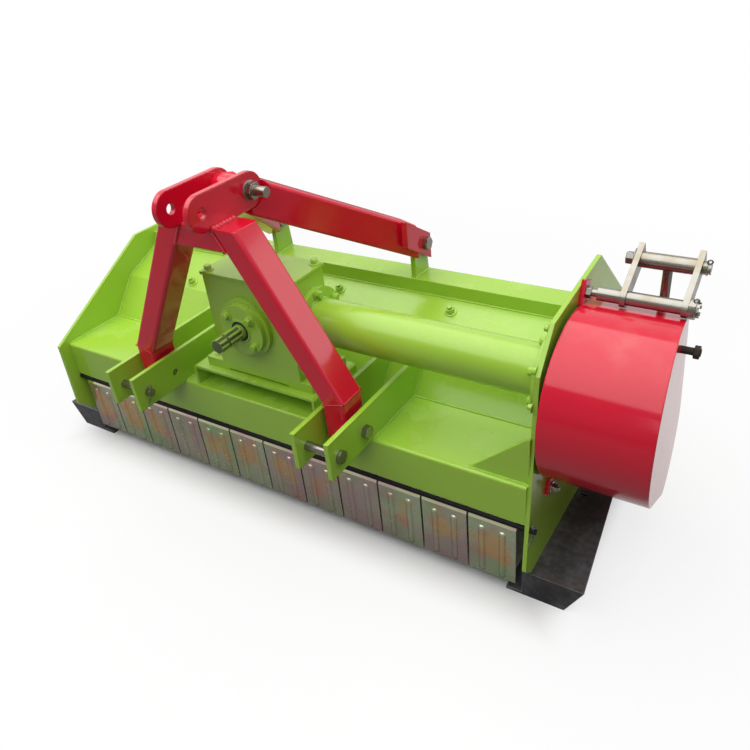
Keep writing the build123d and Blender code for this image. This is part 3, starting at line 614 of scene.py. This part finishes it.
def is_tooth(point):
    """True on every second twelfth of the ring round Z, and False in the middle."""
    turn = math.atan2(point.y, point.x) / (math.tau / CROWN_PARTS)
    return point.xy.length > 1e-4 and math.floor(turn + 1e-3) % 2 == 0


def ring_of(count, centre, radius, axis, start=0.0):
    """Points on a circle round an axis along X or Y."""
    side = Y if abs(axis.x) > 0.5 else X
    return [centre + radius * (math.cos(start + k * math.tau / count) * side
                               + math.sin(start + k * math.tau / count) * Z) for k in range(count)]


class MULCHER_OT_finish_nodes(bpy.types.Operator):
    """Give every solid of the machine its painted or plated finish"""
    bl_idname = "mulcher.finish_nodes"
    bl_label = "Finish nodes"

    def execute(self, context):
        make_finishes(context.scene.mulcher_paint)
        for part in frame["record"]["subparts"]:
            node = frame["nodes"][part["node"]]
            node.data.materials.clear()
            finish = "sprayed_steel" if part["node"] == "input_shaft" else part["material_slot"]
            node.data.materials.append(finishes[finish])
            only(node)
            bpy.ops.object.shade_smooth_by_angle(angle=math.radians(30))
        return {"FINISHED"}


class MULCHER_OT_gearbox_bolts(bpy.types.Operator):
    """Painted bolts of the gearbox lid, bearing cap, feet and drive tube, and the input shaft's seal"""
    bl_idname = "mulcher.gearbox_bolts"
    bl_label = "Gearbox bolts"

    def execute(self, context):
        sizes = context.scene.mulcher_fasteners
        small, large = bolt(sizes.m10), bolt(sizes.m12)
        parts = self.lid(small) + self.cap(small) + self.feet(large) + self.flanges(small)
        dress(join(parts), "gearbox_bolts", "green_paint")
        discard(small, large)
        self.seal()
        return {"FINISHED"}

    def lid(self, master):
        """A bolt in each corner of the lid."""
        inset = 0.016
        low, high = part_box("gearbox_lid")
        corners = [Vector((x, y, high.z)) for x in (low.x + inset, high.x - inset)
                   for y in (low.y + inset, high.y - inset)]
        return [placed(master, corner, Z, index) for index, corner in enumerate(corners)]

    def cap(self, master):
        """Bolts round the hub of the bearing cap."""
        hub, circle, turn = 0.003, 0.052, 0.7
        points = ring_of(4, self.cap_face() + hub * Y, circle, Y, math.radians(45))
        return [placed(master, point, -Y, index * turn) for index, point in enumerate(points)]

    def cap_face(self):
        """Middle of the bearing cap's front."""
        centre = middle("bearing_cap")
        return Vector((centre.x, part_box("bearing_cap")[0].y, centre.z))

    def feet(self, master):
        """A bolt on each corner of the gearbox's foot, each with its own turn."""
        side, end, foot, turn = 0.022, 0.03, 0.026, 40
        low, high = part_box("gearbox_housing")
        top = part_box("gearbox_bench")[1].z + foot
        return [placed(master, Vector((x, y, top)), Z, x * turn) for x in (low.x + side, high.x - side)
                for y in (low.y + end, high.y - end)]

    def flanges(self, master):
        """Bolts round both flanges of the drive tube."""
        circle = 0.072
        low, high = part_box("drive_tube")
        axis = middle("drive_tube")
        parts = []
        for x, way in ((low.x + TUBE_FLANGE, X), (high.x - TUBE_FLANGE, -X)):
            points = ring_of(6, Vector((x, axis.y, axis.z)), circle, X, math.radians(30))
            parts += [placed(master, point, way, index) for index, point in enumerate(points)]
        return parts

    def seal(self):
        """Rubber lip seal round the input shaft, flush with the cap's hub."""
        radius, half_width, flatness = 0.0235, 0.0035, 0.45
        lip = add("torus", major_radius=radius, minor_radius=half_width, major_segments=40,
                  minor_segments=10)
        with editing(lip):
            bpy.ops.mesh.select_all(action="SELECT")
            bpy.ops.transform.resize(value=(1, 1, flatness), center_override=(0, 0, 0))
        ring = join([placed(lip, self.cap_face(), Y)])
        discard(lip)
        dress(ring, "shaft_seal", "belt_rubber")


class MULCHER_OT_hood_bolts(bpy.types.Operator):
    """Bolts of the counter knives on the hood's slope, the belt-side plate and the rotor's bearings"""
    bl_idname = "mulcher.hood_bolts"
    bl_label = "Hood bolts"

    def execute(self, context):
        sizes = context.scene.mulcher_fasteners
        nut, head = bolt(sizes.m12, stub=0.008), bolt(sizes.m8)
        parts = self.slope(nut) + self.belt_plate(head) + self.bearings(nut)
        dress(join(parts), "hood_bolts", "green_paint")
        discard(nut, head)
        return {"FINISHED"}

    def slope(self, master):
        """Bolts by their distance from the hood's middle and their share of the slope."""
        rows = ((-0.69, 0.72), (-0.329, 0.72), (0.031, 0.72), (0.391, 0.72), (0.751, 0.72), (-0.495, 0.155))
        turn = 9
        start, out = slope_foot(), X.cross(SLOPE).normalized()
        start.x = middle("hood_front").x
        return [placed(master, start + x * X + share * SLOPE, out, x * turn) for x, share in rows]

    def belt_plate(self, master):
        """Bolts by their distance behind the apron and their height."""
        rows = ((0.105, 0.690), (0.043, 0.625), (0.026, 0.548))
        turn = 20
        x, apron_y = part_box("side_plate_right")[0].x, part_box("hood_front")[0].y
        return [placed(master, Vector((x, apron_y + back, z)), -X, z * turn) for back, z in rows]

    def bearings(self, master):
        """Four nuts on the flange of each bearing."""
        flange, half = 0.016, 0.053
        centre = middle("rotor_bearings")
        ends = ((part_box("side_plate_left")[0].x - flange, -X), (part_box("side_plate_right")[1].x + flange, X))
        return [placed(master, Vector((x, centre.y + side * half, centre.z + up * half)), way, side + up)
                for x, way in ends for side in (-1, 1) for up in (-1, 1)]


class MULCHER_OT_flaps(bpy.types.Operator):
    """Sheet flaps with two pressed ribs, hooked round the rod"""
    bl_idname = "mulcher.flaps"
    bl_label = "Flaps"

    def execute(self, context):
        master = self.flap(context.scene.mulcher_flaps)
        rod = middle("flap_rod")
        for node in FLAPS:
            copy = join([placed(master, Vector((middle(node).x, rod.y, rod.z)), Z)])
            dress(copy, f"{node}_sheet", "yellow_zinc", f"{node}_body")
            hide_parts(node)
        discard(master)
        return {"FINISHED"}

    def flap(self, sizes):
        """One flap about its rod's axis, hanging along -Z."""
        low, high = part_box(FLAPS[0])
        width, half_sheet = high.x - low.x, sizes.thickness / 2
        eye = high.z - middle("flap_rod").z - half_sheet
        length = high.z - low.z - eye - half_sheet
        # A strip leans back from the leaf and runs into the hook's circle behind the rod
        setback = sizes.bend * math.tan(sizes.lean / 2)
        shoulder = eye / math.sin(sizes.lean) + setback
        strip = Vector((0, math.sin(sizes.lean), math.cos(sizes.lean)))
        strip *= eye / math.tan(sizes.lean) - setback
        leaf = add("grid", x_subdivisions=sizes.columns, y_subdivisions=sizes.rows, size=1.0)
        with editing(leaf):
            bpy.ops.mesh.select_all(action="SELECT")
            bpy.ops.transform.resize(value=(width, length - shoulder, 1.0), center_override=(0, 0, 0))
            bpy.ops.transform.rotate(value=math.radians(90), orient_axis="X", center_override=(0, 0, 0))
            bpy.ops.transform.translate(value=(0, 0, -(length + shoulder) / 2))
            self.press(leaf, sizes, length)
            pick(leaf, "edges", lambda edge: all(vertex.co.z > -shoulder - 1e-5 for vertex in edge.verts))
            bpy.ops.mesh.spin(steps=4, angle=sizes.lean, center=(0, sizes.bend, -shoulder), axis=X)
            bpy.ops.mesh.extrude_region_move(TRANSFORM_OT_translate={"value": strip})
            turn = math.pi / 2 - sizes.lean - sizes.hook
            bpy.ops.mesh.spin(steps=16, angle=turn, center=(0, 0, 0), axis=X)
            bpy.ops.mesh.select_all(action="SELECT")
            bpy.ops.mesh.remove_doubles(threshold=1e-6)
            bpy.ops.mesh.normals_make_consistent(inside=False)
        sheet = leaf.modifiers.new("sheet", "SOLIDIFY")
        sheet.thickness = sizes.thickness
        sheet.offset = 0.0
        only(leaf)
        bpy.ops.object.modifier_apply(modifier=sheet.name)
        return leaf

    def press(self, leaf, sizes, length):
        """Push the two ribs out of the leaf in rounded steps."""
        top = -sizes.rib_top - sizes.rib_width / 2
        foot = -length + sizes.rib_foot + sizes.rib_width / 2
        steps = 5
        for step in range(steps):
            reach = sizes.rib_width / 2 * math.cos(math.asin((step + 0.5) / steps))

            def in_rib(vertex):
                x = abs(vertex.co.x) - sizes.rib_spacing / 2
                z = vertex.co.z - min(top, max(foot, vertex.co.z))
                return math.hypot(x, z) < reach

            pick(leaf, "verts", in_rib)
            bpy.ops.transform.translate(value=(0, -sizes.rib_height / steps, 0))


class MULCHER_OT_split_pins(bpy.types.Operator):
    """Split pins, the slotted nuts of the tensioner and the single fasteners of the ears and guard"""
    bl_idname = "mulcher.split_pins"
    bl_label = "Split pins"

    def execute(self, context):
        sizes = context.scene.mulcher_fasteners
        masters, pins, nuts = [], [], []
        self.rod_pins(sizes, masters, pins)
        self.tensioner_ends(sizes, masters, pins, nuts)
        self.single_fasteners(sizes, masters, pins, nuts)
        dress(join(pins), "split_pins", "bare_steel")
        dress(join(nuts), "tensioner_nuts", "bright_zinc")
        discard(*masters)
        return {"FINISHED"}

    def rod_pins(self, sizes, masters, pins):
        """Split pins of the flap rod and of both hitch pins."""
        rod_tail, hitch_tail, hitch_pin_d = 0.030, 0.022, 0.022
        rod_inset, hitch_gap = 0.006, 0.010
        rod_way, hitch_way = Z + 0.1 * Y, Z + 0.2 * Y
        rod_low, rod_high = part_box("flap_rod")
        rod, hitch = middle("flap_rod"), middle("hitch_pins")
        rod_pin = self.split_pin(sizes.wire, rod_high.z - rod_low.z, rod_tail)
        hitch_pin = self.split_pin(sizes.wire, hitch_pin_d, hitch_tail)
        masters += [rod_pin, hitch_pin]
        for x in (rod_low.x + rod_inset, rod_high.x - rod_inset):
            pins.append(placed(rod_pin, Vector((x, rod.y, rod_high.z)), rod_way, spin=0.9))
        left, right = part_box("hitch_bars_left")[1].x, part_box("hitch_bars_right")[0].x
        for x in (left + hitch_gap, right - hitch_gap):
            top = Vector((x, hitch.y, hitch.z + hitch_pin_d / 2))
            pins.append(placed(hitch_pin, top, hitch_way, spin=1.2))

    def tensioner_ends(self, sizes, masters, pins, nuts):
        """Slotted nuts with split pins on the tensioner's shafts, and the head of the upper pin."""
        sleeve, pin_r, tail, end = 0.017, 0.010, 0.010, 0.012
        nut_width = 2.5  # over its shaft's radius
        cotter_way = Z - 0.3 * Y
        arms_low, arms_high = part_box("tensioner_arms")
        shaft = middle("tensioner_shaft")
        shaft_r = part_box("tensioner_shaft")[1].z - shaft.z
        top = Vector((0, middle("tensioner_rod").y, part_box("tensioner_rod")[1].z - sleeve))
        for centre, radius in ((shaft, shaft_r), (top, pin_r)):
            nut = self.castle_nut(radius * nut_width)
            cotter = self.split_pin(sizes.wire, radius * 2, tail)
            masters += [nut, cotter]
            nuts.append(placed(nut, Vector((arms_high.x, centre.y, centre.z)), X, spin=0.3))
            tip = Vector((arms_high.x + end, centre.y, centre.z + radius))
            pins.append(placed(cotter, tip, cotter_way, spin=0.2))
        pin_head = bolt(pin_r * nut_width)
        masters.append(pin_head)
        pins.append(placed(pin_head, Vector((arms_low.x, top.y, top.z)), -X, spin=0.3))

    def single_fasteners(self, sizes, masters, pins, nuts):
        """Washer of the mast's bolt at the ear, and the bolt of the guard's lower tab."""
        tab, tab_front, tab_drop = 0.010, 0.023, 0.290
        ear_washer, tab_bolt = washer(radius=0.023, thickness=0.003), bolt(sizes.m10, stub=0.006)
        masters += [ear_washer, tab_bolt]
        mast, drive = middle("mast_bolt"), middle("cross_shaft")
        pins.append(placed(ear_washer, Vector((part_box("mast_ears")[1].x, mast.y, mast.z)), X))
        tab_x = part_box("side_plate_right")[1].x + tab
        seat = Vector((tab_x, drive.y - tab_front, drive.z - tab_drop))
        nuts.append(placed(tab_bolt, seat, X, spin=0.4))

    def castle_nut(self, across):
        """Hexagon nut with a crown of six teeth, seat at z = 0."""
        height, ring, tooth = across * 0.34, across * 0.06, across * 0.14
        crown = add("cylinder", vertices=CROWN_PARTS, radius=across * 0.44, depth=ring,
                    location=(0, 0, height + ring / 2))
        with editing(crown):
            pick(crown, "faces", lambda face: face.normal.z > 0.9)
            bpy.ops.mesh.inset(thickness=across * 0.10)
            pick(crown, "faces", lambda face: face.normal.z > 0.9 and is_tooth(face.calc_center_median()))
            bpy.ops.mesh.extrude_region_move(TRANSFORM_OT_translate={"value": (0, 0, tooth)})
        return join([hex_head(across, height), crown])

    def split_pin(self, wire, across, tail):
        """Split pin down through a rod: eye above z = 0 and two legs below the rod, one bent away."""
        eye = add("torus", major_radius=wire * 1.4, minor_radius=wire / 2, major_segments=20,
                  minor_segments=8, rotation=(math.radians(90), 0, 0), location=(0, 0, wire * 1.5))
        parts = [eye]
        steps = 5
        for side, spread, length in ((-1, 0.30, tail), (1, 0.06, tail * 0.8)):
            leg = add("cylinder", vertices=8, radius=wire / 2, depth=across, location=(0, 0, -across / 2))
            with editing(leg):
                pick(leg, "faces", lambda face: face.normal.z < -0.9)
                for step in range(steps):
                    bpy.ops.mesh.extrude_region_move(TRANSFORM_OT_translate={
                        "value": (side * length * spread * (step + 1) / steps ** 2 * 2, 0, -length / steps)})
            leg.location.x += side * wire * 0.3
            parts.append(leg)
        return join(parts)


class MULCHER_OT_weld_beads(bpy.types.Operator):
    """Rippled weld beads along the seams of the hood, hitch and mast"""
    bl_idname = "mulcher.weld_beads"
    bl_label = "Weld beads"
    MITRE, SMALL, FINE, FULL, FILLET, BROAD = 0.45, 0.8, 0.9, 1.0, 1.1, 2.4  # shares of a bead's width

    def execute(self, context):
        welds = context.scene.mulcher_welds
        for name, slot, seams in (("hood_welds", "green_paint", self.green_seams()),
                                  ("mast_welds", "red_paint", self.red_seams())):
            dress(join([self.bead(welds, *seam) for seam in seams]), name, slot, angle=60)
        return {"FINISHED"}

    def bead(self, welds, start, end, scale):
        """A row of flattened ripples between two points."""
        start, end = Vector(start), Vector(end)
        run = end - start
        step = welds.pitch * scale
        ripple = add("uv_sphere", segments=welds.sides, ring_count=5, radius=welds.width / 2 * scale)
        with editing(ripple):
            bpy.ops.mesh.select_all(action="SELECT")
            bpy.ops.transform.resize(value=(1.0, 0.86, 0.7), center_override=(0, 0, 0))
        repeat(ripple, max(2, round(run.length / step)), (0, 0, step))
        turn = Z.rotation_difference(run).to_matrix().to_4x4()
        ripple.matrix_world = Matrix.Translation(start) @ turn
        return ripple

    def run(self, points, scale):
        """Beads from point to point."""
        return [(start, end, scale) for start, end in zip(points, points[1:])]

    def green_seams(self):
        """Seams of the hood, hitch, bench, brackets and drive tube."""
        return self.hood_seams() + self.bar_seams() + self.tube_seams()

    def hood_seams(self):
        """Seams of the hood along both end plates and along two of its bends, and of the gusset."""
        apron_lip, rear_drop = 0.008, 0.089
        shelf_low, shelf_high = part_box("hood_front")
        beam_low, beam_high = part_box("hood_beam")
        rear_low, rear_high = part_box("hood_rear")
        wall_y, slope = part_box("hood_roof")[0].y, slope_foot()
        front = ((shelf_low.y + apron_lip, shelf_high.z), (wall_y, shelf_high.z), (slope.y, slope.z),
                 (beam_low.y, beam_low.z), (beam_low.y, beam_high.z), (beam_high.y, beam_high.z))
        rear = (front[-1], (rear_high.y, beam_high.z - rear_drop), (rear_high.y, rear_low.z))
        seams = []
        for x in (shelf_low.x, shelf_high.x):
            for line in (front, rear):
                seams += self.run([(x, y, z) for y, z in line], self.FULL)
        for y, z in (front[1], front[3]):
            seams += self.run([(shelf_low.x, y, z), (shelf_high.x, y, z)], self.FINE)
        low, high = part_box("shelf_gusset")
        for y in (low.y, high.y):
            seams += self.run([(low.x, y, low.z), (high.x, y, low.z), (high.x, y, high.z)], self.SMALL)
        return seams

    def bar_seams(self):
        """Seams of the hitch bars, the gearbox bench and the strut brackets."""
        apron_lip, bar, bench_inset, bracket = 0.008, 0.012, 0.004, 0.014
        front_y, wall_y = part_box("hood_front")[0].y + apron_lip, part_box("hood_roof")[0].y
        seams = []
        for node in ("hitch_bars_left", "hitch_bars_right"):
            low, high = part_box(node)
            for x in (low.x, low.x + bar, high.x - bar, high.x):
                foot = [(x, front_y, low.z), (x, wall_y, low.z), (x, high.y, high.z)]
                seams += self.run(foot, self.FINE)
        low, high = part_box("gearbox_bench")
        for x in (low.x, high.x):
            seams += self.run([(x, low.y + bench_inset, low.z), (x, high.y, low.z)], self.FINE)
        low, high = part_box("strut_brackets")
        for x in (low.x, low.x + bracket, high.x - bracket, high.x):
            seams += self.run([(x, low.y, low.z), (x, high.y, low.z)], self.FULL)
        return seams

    def tube_seams(self):
        """Ring seams of the drive tube in its flanges."""
        radius = 0.058
        low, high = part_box("drive_tube")
        axis = middle("drive_tube")
        seams = []
        for x in (low.x + TUBE_FLANGE, high.x - TUBE_FLANGE):
            ring = ring_of(20, Vector((x, axis.y, axis.z)), radius, X)
            seams += self.run(ring + ring[:1], self.FINE)
        return seams

    def red_seams(self):
        """Seams of the ears on the legs, the crossbar between them and the mitres of the legs."""
        ear, ear_inset, corner, top_half = 0.014, 0.004, 0.006, 0.046
        kink, mitre = 0.480, 0.008  # height of the legs' bend, and half the rise of its joint
        ears_low, ears_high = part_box("mast_ears")
        bar_low, bar_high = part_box("mast_crossbar")
        front, back, top = bar_low.y, bar_high.y, bar_high.z
        seams = []
        for x, scale in ((ears_low.x, self.BROAD), (ears_high.x, self.BROAD),
                         (ears_low.x + ear, self.FILLET), (ears_high.x - ear, self.FILLET)):
            seams += self.run([(x, front + ear_inset, top), (x, back - ear_inset, top)], scale)
        for side, name in ((-1, "left"), (1, "right")):
            leg_low, leg_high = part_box(f"mast_leg_{name}")
            outer, bar_end = (leg_high.x, bar_high.x) if side > 0 else (leg_low.x, bar_low.x)
            inner = 2 * middle(f"hitch_bars_{name}").x - outer
            bar_top = middle("mast_crossbar").x + side * top_half
            for y in (front, back):
                seams += self.run([(inner, y, kink - mitre), (outer, y, kink + mitre)], self.MITRE)
                seams += self.run([(bar_end, y, bar_low.z), (bar_top, y, top)], self.FILLET)
            for x, z in ((outer, kink + mitre), (inner, kink - mitre)):
                seams += self.run([(x, front + corner, z), (x, back - corner, z)], self.MITRE)
        return seams


class MULCHER_OT_stage(bpy.types.Operator):
    """Pale floor, soft studio light and the camera"""
    bl_idname = "mulcher.stage"
    bl_label = "Stage"

    def execute(self, context):
        stage = context.scene.mulcher_stage
        self.floor(stage)
        self.lamps(context)
        self.world(context, stage)
        self.camera(context, stage)
        context.scene.view_settings.view_transform = "Standard"
        return {"FINISHED"}

    def floor(self, stage):
        """Floor that looks white from afar, shows the machine's shadow and is dim to other rays."""
        sheet = add("plane", size=stage.extent)
        sheet.name = "studio_floor"
        pale = Finish("studio floor")
        low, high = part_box("hood_front")[0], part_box("side_plate_right")[1]
        edge, reach = stage.glow_edge, high.x + stage.mirror_reach
        across, back = pale.along(pale.place, "X"), pale.along(pale.place, "Y")
        beside = pale.step(across, high.x, high.x + edge) - pale.step(across, reach, reach + edge)
        behind = pale.step(back, low.y, low.y + edge)
        mirrored = stage.mirrored * (1 + stage.mirror * beside * behind)
        seen = pale.ray("Is Camera Ray").most(pale.ray("Is Transmission Ray"))
        seen = seen.most(pale.ray("Is Glossy Ray") * mirrored)
        pale.done(base_color=pale.mix(shade(stage.floor, stage.bounce), stage.floor, seen), roughness=0.9)
        centre, half = (low + high) / 2, (high - low) / 2
        x, y = abs(across - centre.x), abs(back - centre.y)
        outside = pale.step(x, half.x, half.x + edge).most(pale.step(y, half.y, half.y + edge))
        far = pale.step(x.most(y), half.x + edge, half.x + stage.glow_reach)
        share = seen * outside * (stage.glow + (1 - stage.glow) * far)
        plain = Field(pale, pale.shader.outputs[0])
        glow = pale.node("ShaderNodeEmission", None, {"Color": (1, 1, 1, 1), "Strength": 1.0})
        blend = pale.node("ShaderNodeMixShader", None, {0: share, 1: plain, 2: glow})
        pale.feed(pale.tree.nodes["Material Output"].inputs["Surface"], blend)
        sheet.data.materials.append(pale.material)

    def lamps(self, context):
        """Large softboxes: name, power, size, place, all aimed at the machine."""
        aim = (cad_box[0] + cad_box[1]) / 2
        for name, power, size, place in (("top light", 250.0, 6.0, (-0.2, -0.5, 3.6)),
                                         ("front light", 6.0, 1.0, (0.9, -4.0, 1.9)),
                                         ("rear light", 36.0, 2.4, (3.4, 2.6, 1.5))):
            lamp = bpy.data.lights.new(name, "AREA")
            lamp.energy, lamp.size = power, size
            stand = bpy.data.objects.new(name, lamp)
            stand.location = place
            stand.rotation_euler = (aim - Vector(place)).to_track_quat("-Z", "Y").to_euler()
            context.scene.collection.objects.link(stand)

    def world(self, context, stage):
        """Sky that is white to the camera, darker towards the front in reflections and dim to other rays."""
        begin, full = 0.25, 0.8  # share of a ray's way that points to the front
        studio = bpy.data.worlds.new("studio")
        studio.use_nodes = True
        context.scene.world = studio
        sky = Shading(studio.node_tree)
        front = sky.along(sky.surface("Incoming"), "Y")
        fade = sky.node("ShaderNodeMapRange", None, {"Value": front, "From Min": begin, "From Max": full,
                                                     "To Min": 1.0, "To Max": stage.front_sky})
        strength = sky.ray("Is Camera Ray").most(sky.ray("Is Transmission Ray"))
        strength = strength.most(sky.ray("Is Glossy Ray") * fade).most(stage.ambient)
        back = studio.node_tree.nodes["Background"]
        sky.feed(back.inputs["Color"], (1, 1, 1, 1))
        sky.feed(back.inputs["Strength"], strength)

    def camera(self, context, stage):
        """Camera by its turn, height angle and roll, placed from the apron's corner."""
        forward = Vector((-math.sin(stage.azimuth) * math.cos(stage.elevation),
                          math.cos(stage.azimuth) * math.cos(stage.elevation), -math.sin(stage.elevation)))
        level = Vector((math.cos(stage.azimuth), math.sin(stage.azimuth), 0))
        right = level * math.cos(stage.roll) - level.cross(forward) * math.sin(stage.roll)
        up = right.cross(forward)
        lens = bpy.data.cameras.new("camera")
        lens.lens = stage.lens
        lens.sensor_width = stage.sensor
        eye = bpy.data.objects.new("camera", lens)
        eye.matrix_world = Matrix((right, up, -forward)).transposed().to_4x4()
        eye.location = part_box("hood_front")[0] + Vector(stage.camera_from_apron)
        context.scene.collection.objects.link(eye)
        context.scene.camera = eye


class MULCHER_PT_build(bpy.types.Panel):
    """Lists the steps that dress the machine"""
    bl_label = "Straw mulcher"
    bl_space_type = "VIEW_3D"
    bl_region_type = "UI"
    bl_category = "Mulcher"

    def draw(self, context):
        for step in STEPS:
            self.layout.operator(step.bl_idname)


STEPS = (
    MULCHER_OT_finish_nodes,
    MULCHER_OT_gearbox_bolts,
    MULCHER_OT_hood_bolts,
    MULCHER_OT_flaps,
    MULCHER_OT_split_pins,
    MULCHER_OT_weld_beads,
    MULCHER_OT_stage,
)
SETTINGS = {
    "mulcher_paint": PaintSettings,
    "mulcher_fasteners": FastenerSettings,
    "mulcher_flaps": FlapSettings,
    "mulcher_welds": WeldSettings,
    "mulcher_stage": StageSettings,
}


def register():
    for group in SETTINGS.values():
        bpy.utils.register_class(group)
    for step in STEPS:
        bpy.utils.register_class(step)
    bpy.utils.register_class(MULCHER_PT_build)
    for name, group in SETTINGS.items():
        setattr(bpy.types.Scene, name, PointerProperty(type=group))


def unregister():
    for name in SETTINGS:
        delattr(bpy.types.Scene, name)
    bpy.utils.unregister_class(MULCHER_PT_build)
    for known in (*STEPS, *SETTINGS.values()):
        bpy.utils.unregister_class(known)


def main():
    register()
    for step in STEPS:
        group, name = step.bl_idname.split(".")
        getattr(getattr(bpy.ops, group), name)()


if __name__ == "__main__":
    main()
